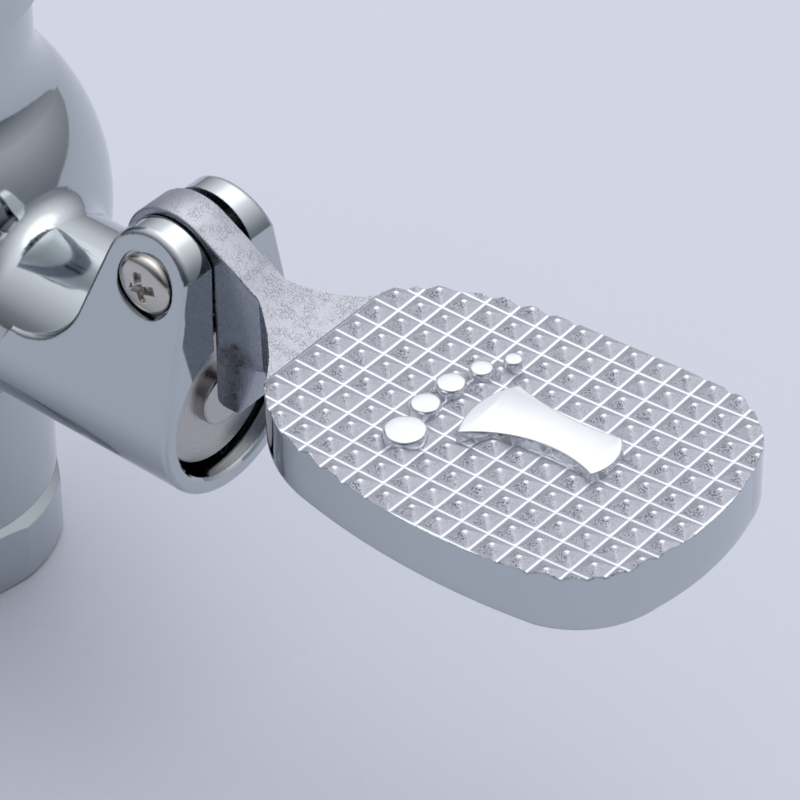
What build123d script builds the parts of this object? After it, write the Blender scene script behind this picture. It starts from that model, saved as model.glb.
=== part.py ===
from build123d import *
import math
import os

# Foot pedal flush valve, millimetres.
# X runs from the inlet to the pedal, Z is up, and the origin is the centre of the inlet pipe's end.
# The pedal pushes a rod through the arm. The rod tilts a pilot valve, and the piston lifts to flush.

# Ball and necks of the casting
ball_radius = 35.5
ball_wall = 4.0
upper_neck_radius = 24.5
upper_neck_blend = 14.0
upper_collar_radius = 26.5
upper_collar_height = 8.0
upper_neck_reach = 14.5
lower_neck_radius = 23.75
lower_neck_blend = 5.0
lower_neck_reach = 19.5

# Arm and clevis
arm_z = -3.7
arm_radius = 15.7
arm_blend = 5.0
arm_rim = 0.8
arm_reach = 29.0
pivot_z = 20.9
ear_radius = 8.3
ear_front = 7.7
ear_corner_z = 3.3
ear_lean = 12.9
ear_back_lean = 18.5
ear_foot_z = 3.4
ear_foot_blend = 12.0
blend_share = 0.95
ear_foot_gap = 2.8
ear_foot_ramp = 2.2
ear_rim = 1.1
slot_width = 8.8
slot_end_gap = 1.2
pocket_radius = 12.85
pocket_rim = 0.5

# Rod, disc and spring
rod_radius = 4.0
rod_head_radius = 4.8
rod_head_height = 1.6
rod_guide_gap = 0.15
rod_tip_radius = 1.3
rod_tip_length = 4.0
rod_head_blend = 0.5
disc_blend = 0.25
disc_radius = 11.7
disc_thickness = 1.0
disc_inset = 3.3
disc_hole_gap = 0.05
spring_wire = 1.4
spring_radius = 7.6
spring_turns = 5.5
spring_length = 15.9
spring_seat_gap = 0.1

# Gland that guides and seals the rod
gland_thread_radius = 9.0
gland_length = 9.0
gland_flange = 3.0
gland_flange_across = 21.0
gland_side_gap = 0.8
rod_fit = 0.05
gasket_thickness = 1.0
gasket_radius = 11.6
rod_ring_section = 1.9
rod_ring_squeeze = 0.02
rod_ring_inset = 2.25
clip_radius = 6.2
clip_thickness = 0.8
clip_groove = 0.8
clip_gap = 0.2
clip_mouth = 5.0
clip_room = 0.6

# Pedal
pedal_swing = 14.0
lever_thickness = 6.3
lever_offset = -0.85
hub_radius = 9.4
hub_slope = 29.5
lobe_bottom_drop = 22.4
lobe_corner = 1.5
lobe_toe = 4.5
lobe_root = 15.5
nose_drop = 20.4
nose_radius = 2.0
nose_width = 4.0
nose_gap = 0.15
pad_reach = 25.92
pad_drop = 2.66
pad_rise = 3.0
pad_thickness = 8.6
pad_length = 67.7
pad_half_width = 24.75
neck_start = 12.5
neck_sag = 0.5
flare_length = 9.5
flare_half_width = 13.5
flare_sag = 0.97
shoulder_reach = 13.5
shoulder_inset = 2.85
shoulder_bulge = 1.33
side_bulge = 1.95
corner_setback = 12.7
corner_inset = 1.1
corner_bulge = 2.56
nose_setback = 1.35
nose_half_width = 11.0
dish_reach = 31.5
dish_margin = 1.5
dish_depth = 0.5
dish_radius = 560.0
waffle_pitch = 4.5
waffle_groove = 0.55
waffle_shift = 2.36
waffle_side_count = 6
stud_height = 1.0
stud_top = 0.5
stud_root = 0.3
footprint_height = 2.0
footprint_root = 0.4
footprint_edge = 0.4
toe_flare = 0.2

# Pivot screw
screw_radius = 2.5
screw_hole_gap = 0.15
hub_hole_gap = 0.08
screw_head_radius = 4.9
screw_head_height = 2.3
screw_head_side = 1.2
screw_dome_bulge = 0.3
screw_seat_y = -9.4
screw_seat_gap = 0.4
screw_end_y = 9.5
cross_length = 5.2
cross_width = 1.0
cross_depth = 1.5

# Central tube, main seat and outlet
tube_bore = 13.0
tube_wall = 3.5
seat_z = 14.0
seat_rim = 1.0
seat_flange = 3.0
seat_spigot = 8.0
seat_bore = 11.3
rod_tube_wall = 3.5
flush_pipe_radius = 16.0
flush_pipe_gap = 0.25
socket_depth = 25.0
outlet_thread_radius = 20.95
outlet_thread_length = 7.0
slip_ring_thickness = 1.5
ring_side_gap = 0.2
cone_mouth_depth = 3.0
cone_mouth_flare = 2.2
outlet_nut_diameter = 48.8
outlet_nut_across = 47.4
outlet_nut_height = 13.5
outlet_nut_turn = 19.5
outlet_nut_shoulder = 2.4
outlet_nut_edge = 0.6
outlet_nut_lip = 3.0
outlet_nut_gap = 0.5

# Piston and pilot valve
piston_lift = 8.0
neck_bore = 20.0
seal_clearance = 0.05
seat_washer_radius = 16.0
seat_washer_thickness = 3.0
piston_disc_thickness = 3.0
piston_hub_radius = 9.0
piston_hub_bore = 7.9
piston_hub_rise = 8.0
cup_plate_drop = 23.0
cup_plate_thickness = 3.0
cup_plate_radius = 18.5
cup_thickness = 2.0
cup_lip = 1.5
cup_lip_height = 5.0
retainer_radius = 17.0
retainer_thickness = 3.0
guide_tube_radius = 6.5
guide_bore = 5.0
guide_top_drop = 3.0
guide_flange = 2.5
guide_gap = 0.3
wing_length = 9.0
wing_thickness = 1.6
wing_depth = 2.8
wing_count = 4
jet_offset = 13.5
jet_radius = 1.5
jet_head_radius = 2.2
jet_head_height = 1.0
jet_bore = 0.4
pilot_disc_radius = 7.0
pilot_disc_thickness = 2.0
pilot_seal_thickness = 1.5
pilot_stem_radius = 2.5
pilot_stem_tip_z = -9.0
pilot_free_gap = 0.8
pilot_tip_blend = 1.25

# Cap and timing screw
cap_thread_radius = 21.5
cap_thread_length = 6.0
cap_inner_radius = 18.0
cap_roof = 4.0
cap_height = 16.0
cap_hex_height = 6.0
cap_hex_across = 48.0
cap_dome_blend = 6.0
cap_ring_section = 2.0
cap_ring_radius = 23.5
timing_thread_radius = 4.0
timing_thread_gap = 0.05
timing_neck_radius = 3.6
timing_plate_radius = 10.0
timing_plate_thickness = 2.0
timing_plate_gap = 0.35
timing_ring_section = 1.1
timing_ring_gap = 0.02
timing_ring_rise = 0.9
timing_seal_length = 5.5
timing_slot_rise = 0.6
timing_slot_width = 1.2
timing_slot_depth = 1.6
timing_recess_radius = 5.5
timing_recess_depth = 2.0
timing_travel = 3.0
cap_boss_radius = 7.0
cap_boss_length = 7.5

# Inlet
inlet_bore = 10.5
inlet_thread_radius = 16.6
inlet_thread_length = 14.0
tail_radius = 13.3
tail_collar_radius = 15.6
tail_collar_x = 24.0
tail_collar_thickness = 3.0
inlet_washer_thickness = 2.5
inlet_washer_bore = 11.0
stub_thread_length = 12.0
stub_neck_radius = 15.0
stub_neck_length = 5.0
stub_bore = 11.0
stub_blend = 3.0
union_nut_across = 40.0
union_nut_lip = 5.0
union_nut_gap = 0.3
stub_grip = 11.0
nut_bevel = 2.2
thread_lead = 1.0

# Places that follow from the sizes above
stub_end_x = tail_collar_x + tail_collar_thickness + inlet_washer_thickness
body_x = stub_end_x + stub_thread_length + stub_neck_length + ball_radius
upper_neck_top = ball_radius + upper_neck_reach
lower_neck_bottom = -ball_radius - lower_neck_reach
pivot_x = body_x + ball_radius + arm_reach
ear_foot_end = arm_reach - ear_foot_gap
front_x = pivot_x + ear_front
disc_front_x = front_x - disc_inset
disc_back_x = disc_front_x - disc_thickness
rod_end_x = disc_front_x + rod_head_height
gland_front_x = disc_back_x - spring_length
gasket_front_x = gland_front_x - gland_flange
pocket_end_x = gasket_front_x - gasket_thickness
gland_end_x = gasket_front_x - gland_length
nose_x = rod_end_x + nose_gap + nose_radius - pivot_x
swing = math.radians(pedal_swing)
rod_travel = nose_x * (1 - math.cos(swing)) + nose_drop * math.sin(swing)
clip_front_x = gland_end_x - clip_gap
clip_room_x = clip_front_x - clip_thickness - rod_travel - clip_room
rod_tip_x = body_x + pilot_stem_radius + pilot_free_gap
tube_radius = tube_bore + tube_wall
tube_top_z = seat_z - seat_rim - seat_flange
socket_radius = flush_pipe_radius + flush_pipe_gap
spigot_end_z = lower_neck_bottom - outlet_thread_length
socket_top_z = spigot_end_z + socket_depth
chamber_radius = ball_radius - ball_wall
neck_thread_z = upper_neck_top - cap_thread_length
cap_seat_z = upper_neck_top
cup_plate_z = upper_neck_top - cup_plate_drop
piston_hub_top = cup_plate_z + piston_hub_rise
guide_top_z = cup_plate_z - guide_top_drop
cap_top_z = cap_seat_z + cap_height

# Half the stretch in which an edge is looked for
search_reach = 0.5

# Turning planes: the first direction is the radius, the second runs along the axis
body_plane = Plane(origin=(body_x, 0, 0), x_dir=(1, 0, 0), z_dir=(0, -1, 0))
arm_plane = Plane(origin=(0, 0, arm_z), x_dir=(0, 0, 1), z_dir=(0, 1, 0))
inlet_plane = Plane(origin=(0, 0, 0), x_dir=(0, 0, 1), z_dir=(0, 1, 0))
body_axis = Axis((body_x, 0, 0), (0, 0, 1))
arm_axis = Axis((0, 0, arm_z), (1, 0, 0))
inlet_axis = Axis.X
front_plane = Plane(origin=(front_x, 0, arm_z), x_dir=(0, 1, 0), z_dir=(1, 0, 0))
side_plane = Plane(origin=(pivot_x, 0, pivot_z), x_dir=(1, 0, 0), z_dir=(0, -1, 0))
pivot_plane = Plane(origin=(pivot_x, 0, pivot_z), x_dir=(1, 0, 0), z_dir=(0, 1, 0))


def outline(plane, points):
    """A closed flat face with straight sides."""
    with BuildSketch(plane) as face:
        with BuildLine():
            Polyline(points, close=True)
        make_face()
    return face.sketch


def band(plane, inner, outer, low, high):
    """The section of a ring: two radii and two places along the axis."""
    return outline(plane, [(inner, low), (outer, low), (outer, high), (inner, high)])


def bead(plane, radius, place, section):
    """The section of a round sealing ring."""
    with BuildSketch(plane) as face:
        with Locations((radius, place)):
            Circle(section / 2)
    return face.sketch


def around(place):
    """The two ends of a short stretch about a place, to look for edges in."""
    return place - search_reach, place + search_reach


def finish(piece, name):
    """Name a finished piece and write it out."""
    piece.part.label = name
    export_step(piece.part, f"parts/{name}.step")


os.makedirs("parts", exist_ok=True)

# Clevis blank: the side view of the ears crossed with the leaning front view
lean = math.radians(ear_lean)
back = math.radians(ear_back_lean)
flank_y = arm_radius * math.cos(lean)
flank_z = arm_radius * math.sin(lean)
ear_top_z = pivot_z - arm_z + 2 * ear_radius
flank_top_y = flank_y - (ear_top_z - flank_z) * math.tan(lean)
foot_drop = pivot_z - ear_foot_z
back_start = (-ear_radius * math.cos(back), ear_radius * math.sin(back))
foot_corner_x = back_start[0] - (foot_drop + back_start[1]) * math.tan(back)
foot_room = foot_corner_x + ear_foot_end - ear_foot_ramp
foot_blend = min(ear_foot_blend, blend_share * foot_room * math.tan((math.pi / 2 + back) / 2))
ramp_z = arm_z + flank_z - pivot_z

with BuildPart() as clevis_blank:
    with BuildSketch(side_plane):
        with BuildLine():
            corner = (ear_front, ear_corner_z)
            foot_corner = (foot_corner_x, -foot_drop)
            RadiusArc(corner, back_start, -ear_radius)
            edge = Polyline(
                back_start,
                foot_corner,
                (ear_foot_ramp - ear_foot_end, -foot_drop),
                (-ear_foot_end, ramp_z),
                (-ear_foot_end, arm_z - arm_radius - pivot_z),
                (ear_front, arm_z - arm_radius - pivot_z),
                corner,
            )
        make_face()
        fillet(vertices().sort_by_distance(foot_corner)[0], foot_blend)
    extrude(amount=2 * arm_radius, both=True)
    with BuildSketch(front_plane):
        with BuildLine():
            ThreePointArc((-flank_y, flank_z), (0, -arm_radius), (flank_y, flank_z))
            Polyline(
                (flank_y, flank_z),
                (flank_top_y, ear_top_z),
                (-flank_top_y, ear_top_z),
                (-flank_y, flank_z),
            )
        make_face()
    extrude(amount=body_x - front_x, mode=Mode.INTERSECT)
    ear_tops = edges().filter_by(GeomType.ELLIPSE)
    fillet(ear_tops.filter_by_position(Axis.Z, pivot_z, pivot_z + 2 * ear_radius), ear_rim)


# Water space between the ball and the central tube, open to the neck above
with BuildPart() as chamber:
    with BuildSketch(body_plane):
        Circle(chamber_radius)
        Rectangle(2 * neck_bore, neck_thread_z, align=(Align.CENTER, Align.MIN))
        with Locations((0, tube_top_z)):
            tube_size = (2 * tube_radius, 2 * ball_radius)
            Rectangle(*tube_size, align=(Align.CENTER, Align.MAX), mode=Mode.SUBTRACT)
        half_size = (ball_radius, 4 * ball_radius)
        Rectangle(*half_size, align=(Align.MAX, Align.CENTER), mode=Mode.SUBTRACT)
    revolve(axis=body_axis)
    tube_section = band(arm_plane, 0, rod_radius + rod_tube_wall, body_x, body_x + ball_radius)
    revolve(tube_section, axis=arm_axis, mode=Mode.SUBTRACT)

# Casting
upper_join_z = math.sqrt(ball_radius**2 - upper_neck_radius**2)
lower_join_z = -math.sqrt(ball_radius**2 - lower_neck_radius**2)
stub_join_x = body_x - math.sqrt(ball_radius**2 - stub_neck_radius**2)
arm_join_x = body_x + math.sqrt(ball_radius**2 - (arm_radius - arm_z) ** 2) - search_reach
mouth_radius = socket_radius + cone_mouth_flare

with BuildPart() as valve_body:
    with BuildSketch(body_plane):
        Circle(ball_radius)
        Rectangle(2 * upper_neck_radius, upper_neck_top, align=(Align.CENTER, Align.MIN))
        Rectangle(2 * lower_neck_radius, -lower_neck_bottom, align=(Align.CENTER, Align.MAX))
        fillet(vertices().filter_by_position(Axis.Y, *around(upper_join_z)), upper_neck_blend)
        fillet(vertices().filter_by_position(Axis.Y, *around(lower_join_z)), lower_neck_blend)
        Rectangle(2 * outlet_thread_radius, -spigot_end_z, align=(Align.CENTER, Align.MAX))
        with Locations((0, upper_neck_top)):
            Rectangle(2 * upper_collar_radius, upper_collar_height, align=(Align.CENTER, Align.MAX))
        Rectangle(2 * ball_radius, 4 * ball_radius, align=(Align.MAX, Align.CENTER), mode=Mode.SUBTRACT)
    revolve(axis=body_axis)
    revolve(band(arm_plane, 0, arm_radius, body_x, front_x), axis=arm_axis)
    add(clevis_blank.part)
    stub_profile = [
        (0, stub_end_x),
        (inlet_thread_radius, stub_end_x),
        (inlet_thread_radius, stub_end_x + stub_thread_length),
        (stub_neck_radius, stub_end_x + stub_thread_length),
        (stub_neck_radius, body_x),
        (0, body_x),
    ]
    revolve(outline(inlet_plane, stub_profile), axis=inlet_axis)
    arm_join = edges().filter_by(GeomType.BSPLINE)
    fillet(arm_join.filter_by_position(Axis.X, arm_join_x, body_x + ball_radius), arm_blend)
    stub_join = edges().filter_by(GeomType.CIRCLE)
    fillet(stub_join.filter_by_position(Axis.X, *around(stub_join_x)), stub_blend)

    # Water ways
    add(chamber.part, mode=Mode.SUBTRACT)
    revolve(band(body_plane, 0, tube_bore, spigot_end_z, tube_top_z), axis=body_axis, mode=Mode.SUBTRACT)
    mouth_profile = [
        (0, spigot_end_z),
        (mouth_radius, spigot_end_z),
        (socket_radius, spigot_end_z + cone_mouth_depth),
        (socket_radius, socket_top_z),
        (0, socket_top_z),
    ]
    revolve(outline(body_plane, mouth_profile), axis=body_axis, mode=Mode.SUBTRACT)
    cap_bore = band(body_plane, 0, cap_thread_radius, neck_thread_z, upper_neck_top)
    revolve(cap_bore, axis=body_axis, mode=Mode.SUBTRACT)
    ring_groove = band(
        body_plane,
        cap_ring_radius - cap_ring_section / 2,
        cap_ring_radius + cap_ring_section / 2,
        upper_neck_top - cap_ring_section,
        upper_neck_top,
    )
    revolve(ring_groove, axis=body_axis, mode=Mode.SUBTRACT)
    inlet_way = band(inlet_plane, 0, stub_bore, stub_end_x, body_x - (chamber_radius + tube_radius) / 2)
    revolve(inlet_way, axis=inlet_axis, mode=Mode.SUBTRACT)

    # Bores of the arm, from the tube out to the pocket
    arm_bores = [
        (0, body_x),
        (rod_radius + rod_guide_gap, body_x),
        (rod_radius + rod_guide_gap, clip_room_x),
        (clip_radius + clip_room, clip_room_x),
        (clip_radius + clip_room, gland_end_x),
        (gland_thread_radius, gland_end_x),
        (gland_thread_radius, pocket_end_x),
        (pocket_radius, pocket_end_x),
        (pocket_radius, front_x),
        (0, front_x),
    ]
    revolve(outline(arm_plane, arm_bores), axis=arm_axis, mode=Mode.SUBTRACT)

    # Slot for the lever, open to the top, the front and the pocket
    slot_end_x = pivot_x - hub_radius - slot_end_gap
    with BuildSketch(Plane.XY.offset(arm_z)):
        with Locations((slot_end_x, 0)):
            Rectangle(front_x - slot_end_x, slot_width, align=(Align.MIN, Align.CENTER))
    extrude(amount=2 * ball_radius, mode=Mode.SUBTRACT)

    # Screw holes: free in the near ear, threaded in the far one
    with BuildSketch(pivot_plane):
        Circle(screw_radius)
    extrude(amount=arm_radius, mode=Mode.SUBTRACT)
    with BuildSketch(pivot_plane):
        Circle(screw_radius + screw_hole_gap)
    extrude(amount=-arm_radius, mode=Mode.SUBTRACT)
    with BuildSketch(pivot_plane.offset(screw_seat_y)):
        Circle(screw_head_radius + screw_seat_gap)
    extrude(amount=-arm_radius, mode=Mode.SUBTRACT)

    rim = edges().filter_by(GeomType.CIRCLE).filter_by_position(Axis.X, front_x, front_x)
    pocket_edge = rim.filter_by(lambda e: abs(e.radius - pocket_radius) < pocket_rim)
    chamfer(pocket_edge, pocket_rim)
    outer_edge = edges().filter_by(GeomType.CIRCLE).filter_by_position(Axis.X, front_x, front_x)
    fillet(outer_edge.filter_by(lambda e: abs(e.radius - arm_radius) < pocket_rim), arm_rim)

finish(valve_body, "valve_body")

# Main seat
seat_flange_z = seat_z - seat_rim
with BuildPart() as seat_ring:
    seat_profile = [
        (seat_bore, tube_top_z - seat_spigot),
        (tube_bore, tube_top_z - seat_spigot),
        (tube_bore, tube_top_z),
        (tube_radius, tube_top_z),
        (tube_radius, seat_flange_z),
        (seat_bore + 2 * seat_rim, seat_flange_z),
        (seat_bore + seat_rim, seat_z),
        (seat_bore, seat_z),
    ]
    revolve(outline(body_plane, seat_profile), axis=body_axis)
finish(seat_ring, "seat_ring")

# Piston with its cup, seat washer and guide
washer_z = seat_z + seal_clearance
disc_z = washer_z + seat_washer_thickness
disc_top_z = disc_z + piston_disc_thickness
cup_z = cup_plate_z + cup_plate_thickness
retainer_z = cup_z + cup_thickness
retainer_top_z = retainer_z + retainer_thickness
jet_place = (body_x, jet_offset)
jet_length = retainer_top_z - cup_plate_z


def jet_circle(radius, height):
    """A circle about the axis of the bleed jet."""
    with BuildSketch(Plane.XY.offset(height)) as face:
        with Locations(jet_place):
            Circle(radius)
    return face.sketch


with BuildPart() as piston:
    piston_profile = [
        (guide_tube_radius, disc_z),
        (seat_washer_radius, disc_z),
        (seat_washer_radius, disc_top_z),
        (piston_hub_radius, disc_top_z),
        (piston_hub_radius, cup_plate_z),
        (cup_plate_radius, cup_plate_z),
        (cup_plate_radius, cup_z),
        (piston_hub_radius, cup_z),
        (piston_hub_radius, piston_hub_top),
        (piston_hub_bore, piston_hub_top),
        (piston_hub_bore, guide_top_z),
        (guide_tube_radius, guide_top_z),
    ]
    revolve(outline(body_plane, piston_profile), axis=body_axis)
    extrude(jet_circle(jet_radius, cup_plate_z), amount=jet_length, mode=Mode.SUBTRACT)
finish(piston, "piston")

with BuildPart() as seat_washer:
    washer_section = band(body_plane, guide_tube_radius, seat_washer_radius, washer_z, disc_z)
    revolve(washer_section, axis=body_axis)
finish(seat_washer, "seat_washer")

guide_radius = seat_bore - guide_gap
guide_flange_z = washer_z - guide_flange
with BuildPart() as piston_guide:
    guide_profile = [
        (guide_bore, guide_flange_z),
        (guide_radius, guide_flange_z),
        (guide_radius, washer_z),
        (guide_tube_radius, washer_z),
        (guide_tube_radius, guide_top_z),
        (guide_bore, guide_top_z),
    ]
    revolve(outline(body_plane, guide_profile), axis=body_axis)
    with BuildSketch(Plane.XY.offset(guide_flange_z)):
        with Locations((body_x, 0)):
            with PolarLocations(guide_radius - wing_depth / 2 - guide_gap, wing_count):
                Rectangle(wing_depth, wing_thickness)
    extrude(amount=-wing_length)
finish(piston_guide, "piston_guide")

with BuildPart() as piston_cup_seal:
    cup_radius = neck_bore - seal_clearance
    cup_profile = [
        (piston_hub_radius, cup_z),
        (cup_radius, cup_z),
        (cup_radius, cup_z + cup_lip_height),
        (cup_radius - cup_lip, cup_z + cup_lip_height),
        (cup_radius - cup_lip, retainer_z),
        (piston_hub_radius, retainer_z),
    ]
    revolve(outline(body_plane, cup_profile), axis=body_axis)
    extrude(jet_circle(jet_radius, cup_plate_z), amount=jet_length, mode=Mode.SUBTRACT)
finish(piston_cup_seal, "piston_cup_seal")

with BuildPart() as cup_seal_retainer:
    retainer_section = band(body_plane, piston_hub_radius, retainer_radius, retainer_z, retainer_top_z)
    revolve(retainer_section, axis=body_axis)
    extrude(jet_circle(jet_radius, cup_plate_z), amount=jet_length, mode=Mode.SUBTRACT)
finish(cup_seal_retainer, "cup_seal_retainer")

with BuildPart() as bleed_jet:
    extrude(jet_circle(jet_radius, cup_plate_z), amount=jet_length)
    extrude(jet_circle(jet_head_radius, retainer_top_z), amount=jet_head_height)
    jet_bore_length = jet_length + jet_head_height
    extrude(jet_circle(jet_bore, cup_plate_z), amount=jet_bore_length, mode=Mode.SUBTRACT)
finish(bleed_jet, "bleed_jet")

# Pilot valve, tilted by the rod
pilot_z = guide_top_z + seal_clearance
pilot_disc_z = pilot_z + pilot_seal_thickness
with BuildPart() as relief_valve_stem:
    stem_profile = [
        (0, pilot_stem_tip_z),
        (pilot_stem_radius, pilot_stem_tip_z),
        (pilot_stem_radius, pilot_disc_z),
        (pilot_disc_radius, pilot_disc_z),
        (pilot_disc_radius, pilot_disc_z + pilot_disc_thickness),
        (0, pilot_disc_z + pilot_disc_thickness),
    ]
    revolve(outline(body_plane, stem_profile), axis=body_axis)
    tip = edges().filter_by(GeomType.CIRCLE).group_by(Axis.Z)[0]
    fillet(tip, pilot_tip_blend)
finish(relief_valve_stem, "relief_valve_stem")

with BuildPart() as relief_valve_seal:
    pilot_seal = band(body_plane, pilot_stem_radius, pilot_disc_radius, pilot_z, pilot_disc_z)
    revolve(pilot_seal, axis=body_axis)
finish(relief_valve_seal, "relief_valve_seal")

# Cap, its ring and the timing screw that limits the lift
roof_z = cap_top_z - cap_roof - timing_recess_depth
plate_z = piston_hub_top + piston_lift + timing_plate_gap
plate_top_z = plate_z + timing_plate_thickness
recess_z = cap_top_z - timing_recess_depth
thread_end_z = recess_z - timing_seal_length
boss_end_z = roof_z - cap_boss_length

with BuildPart() as top_cap:
    with BuildSketch(Plane.XY.offset(cap_seat_z)):
        with Locations((body_x, 0)):
            RegularPolygon(cap_hex_across / 2, 6, major_radius=False)
    extrude(amount=cap_hex_height)
    dome_profile = [
        (0, cap_seat_z),
        (cap_hex_across / 2, cap_seat_z),
        (cap_hex_across / 2, cap_top_z),
        (0, cap_top_z),
    ]
    revolve(outline(body_plane, dome_profile), axis=body_axis)
    fillet(edges().filter_by(GeomType.CIRCLE).group_by(Axis.Z)[-1], cap_dome_blend)
    revolve(band(body_plane, 0, cap_thread_radius, neck_thread_z, cap_seat_z), axis=body_axis)
    cap_room = [
        (0, neck_thread_z),
        (cap_inner_radius, neck_thread_z),
        (cap_inner_radius, roof_z),
        (cap_boss_radius, roof_z),
        (cap_boss_radius, boss_end_z),
        (0, boss_end_z),
    ]
    revolve(outline(body_plane, cap_room), axis=body_axis, mode=Mode.SUBTRACT)
    screw_way = [
        (0, boss_end_z),
        (timing_thread_radius + timing_thread_gap, boss_end_z),
        (timing_thread_radius + timing_thread_gap, thread_end_z),
        (timing_neck_radius + timing_thread_gap, thread_end_z),
        (timing_neck_radius + timing_thread_gap, recess_z),
        (timing_recess_radius, recess_z),
        (timing_recess_radius, cap_top_z),
        (0, cap_top_z),
    ]
    revolve(outline(body_plane, screw_way), axis=body_axis, mode=Mode.SUBTRACT)
finish(top_cap, "top_cap")

with BuildPart() as top_cap_o_ring:
    cap_ring = bead(body_plane, cap_ring_radius, cap_seat_z - cap_ring_section / 2, cap_ring_section)
    revolve(cap_ring, axis=body_axis)
finish(top_cap_o_ring, "top_cap_o_ring")

with BuildPart() as timing_screw:
    ring_z = thread_end_z + timing_ring_rise
    groove_radius = timing_neck_radius - timing_ring_section + timing_thread_gap
    screw_profile = [
        (0, plate_z),
        (timing_plate_radius, plate_z),
        (timing_plate_radius, plate_top_z),
        (timing_thread_radius, plate_top_z),
        (timing_thread_radius, thread_end_z - timing_travel - timing_thread_gap),
        (timing_neck_radius, thread_end_z - timing_travel - timing_thread_gap),
        (timing_neck_radius, ring_z - timing_ring_section / 2),
        (groove_radius, ring_z - timing_ring_section / 2),
        (groove_radius, ring_z + timing_ring_section / 2),
        (timing_neck_radius, ring_z + timing_ring_section / 2),
        (timing_neck_radius, cap_top_z - timing_slot_rise),
        (0, cap_top_z - timing_slot_rise),
    ]
    revolve(outline(body_plane, screw_profile), axis=body_axis)
    with Locations((body_x, 0, cap_top_z - timing_slot_rise)):
        Box(
            2 * timing_thread_radius,
            timing_slot_width,
            timing_slot_depth,
            align=(Align.CENTER, Align.CENTER, Align.MAX),
            mode=Mode.SUBTRACT,
        )
finish(timing_screw, "timing_screw")

with BuildPart() as timing_screw_o_ring:
    ring_inner = groove_radius
    ring_outer = timing_neck_radius + timing_thread_gap - timing_ring_gap
    ring_half = (ring_outer - ring_inner) / 2
    revolve(bead(body_plane, ring_inner + ring_half, ring_z, 2 * ring_half), axis=body_axis)
finish(timing_screw_o_ring, "timing_screw_o_ring")

# Inlet: threaded tail, washer and union nut
with BuildPart() as inlet_tail:
    tail_end_x = tail_collar_x + tail_collar_thickness
    tail_profile = [
        (inlet_bore, 0),
        (inlet_thread_radius, 0),
        (inlet_thread_radius, inlet_thread_length),
        (tail_radius, inlet_thread_length),
        (tail_radius, tail_collar_x),
        (tail_collar_radius, tail_collar_x),
        (tail_collar_radius, tail_end_x),
        (inlet_bore, tail_end_x),
    ]
    revolve(outline(inlet_plane, tail_profile), axis=inlet_axis)
    chamfer(edges().filter_by(GeomType.CIRCLE).filter_by(Plane.YZ).sort_by(SortBy.RADIUS)[-2:], thread_lead)
finish(inlet_tail, "inlet_tail")

with BuildPart() as inlet_washer:
    inlet_seal = band(inlet_plane, inlet_washer_bore, tail_collar_radius, tail_end_x, stub_end_x)
    revolve(inlet_seal, axis=inlet_axis)
finish(inlet_washer, "inlet_washer")

nut_start_x = tail_collar_x - union_nut_lip
nut_end_x = stub_end_x + stub_grip
with BuildPart() as inlet_union_nut:
    with BuildSketch(Plane.YZ.offset(nut_start_x)):
        RegularPolygon(union_nut_across / 2, 6, major_radius=False)
    extrude(amount=nut_end_x - nut_start_x)
    corner_radius = union_nut_across / math.sqrt(3)
    nut_turn = [
        (0, nut_start_x),
        (union_nut_across / 2, nut_start_x),
        (corner_radius, nut_start_x + nut_bevel),
        (corner_radius, nut_end_x - nut_bevel),
        (union_nut_across / 2, nut_end_x),
        (0, nut_end_x),
    ]
    revolve(outline(inlet_plane, nut_turn), axis=inlet_axis, mode=Mode.INTERSECT)
    nut_bore = [
        (0, nut_start_x),
        (tail_radius + union_nut_gap, nut_start_x),
        (tail_radius + union_nut_gap, tail_collar_x),
        (inlet_thread_radius, tail_collar_x),
        (inlet_thread_radius, nut_end_x),
        (0, nut_end_x),
    ]
    revolve(outline(inlet_plane, nut_bore), axis=inlet_axis, mode=Mode.SUBTRACT)
finish(inlet_union_nut, "inlet_union_nut")

# Outlet: round nut with six flats, slip ring and cone washer that grip a flush pipe
nut_top_z = lower_neck_bottom - outlet_nut_gap
nut_bottom_z = nut_top_z - outlet_nut_height
nut_floor_z = nut_bottom_z + outlet_nut_lip
washer_low_z = nut_floor_z + slip_ring_thickness
with BuildPart() as outlet_nut:
    with BuildSketch(Plane.XY.offset(nut_bottom_z)):
        with Locations((body_x, 0)):
            RegularPolygon(outlet_nut_across / 2, 6, major_radius=False, rotation=outlet_nut_turn)
    extrude(amount=outlet_nut_height)
    nut_radius = outlet_nut_diameter / 2
    outer_turn = [
        (0, nut_bottom_z),
        (nut_radius - outlet_nut_edge, nut_bottom_z),
        (nut_radius, nut_bottom_z + outlet_nut_edge),
        (nut_radius, nut_top_z - outlet_nut_shoulder),
        (nut_radius - outlet_nut_shoulder, nut_top_z),
        (0, nut_top_z),
    ]
    revolve(outline(body_plane, outer_turn), axis=body_axis, mode=Mode.INTERSECT)
    inner_turn = [
        (0, nut_bottom_z),
        (socket_radius, nut_bottom_z),
        (socket_radius, nut_floor_z),
        (outlet_thread_radius, nut_floor_z),
        (outlet_thread_radius, nut_top_z),
        (0, nut_top_z),
    ]
    revolve(outline(body_plane, inner_turn), axis=body_axis, mode=Mode.SUBTRACT)
finish(outlet_nut, "outlet_nut")

with BuildPart() as outlet_slip_ring:
    slip_outer = outlet_thread_radius - ring_side_gap
    slip_section = band(body_plane, socket_radius, slip_outer, nut_floor_z, washer_low_z)
    revolve(slip_section, axis=body_axis)
finish(outlet_slip_ring, "outlet_slip_ring")

with BuildPart() as outlet_cone_washer:
    cone_profile = [
        (socket_radius, washer_low_z),
        (slip_outer, washer_low_z),
        (slip_outer, spigot_end_z),
        (mouth_radius, spigot_end_z),
        (socket_radius, spigot_end_z + cone_mouth_depth),
    ]
    revolve(outline(body_plane, cone_profile), axis=body_axis)
finish(outlet_cone_washer, "outlet_cone_washer")

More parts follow.
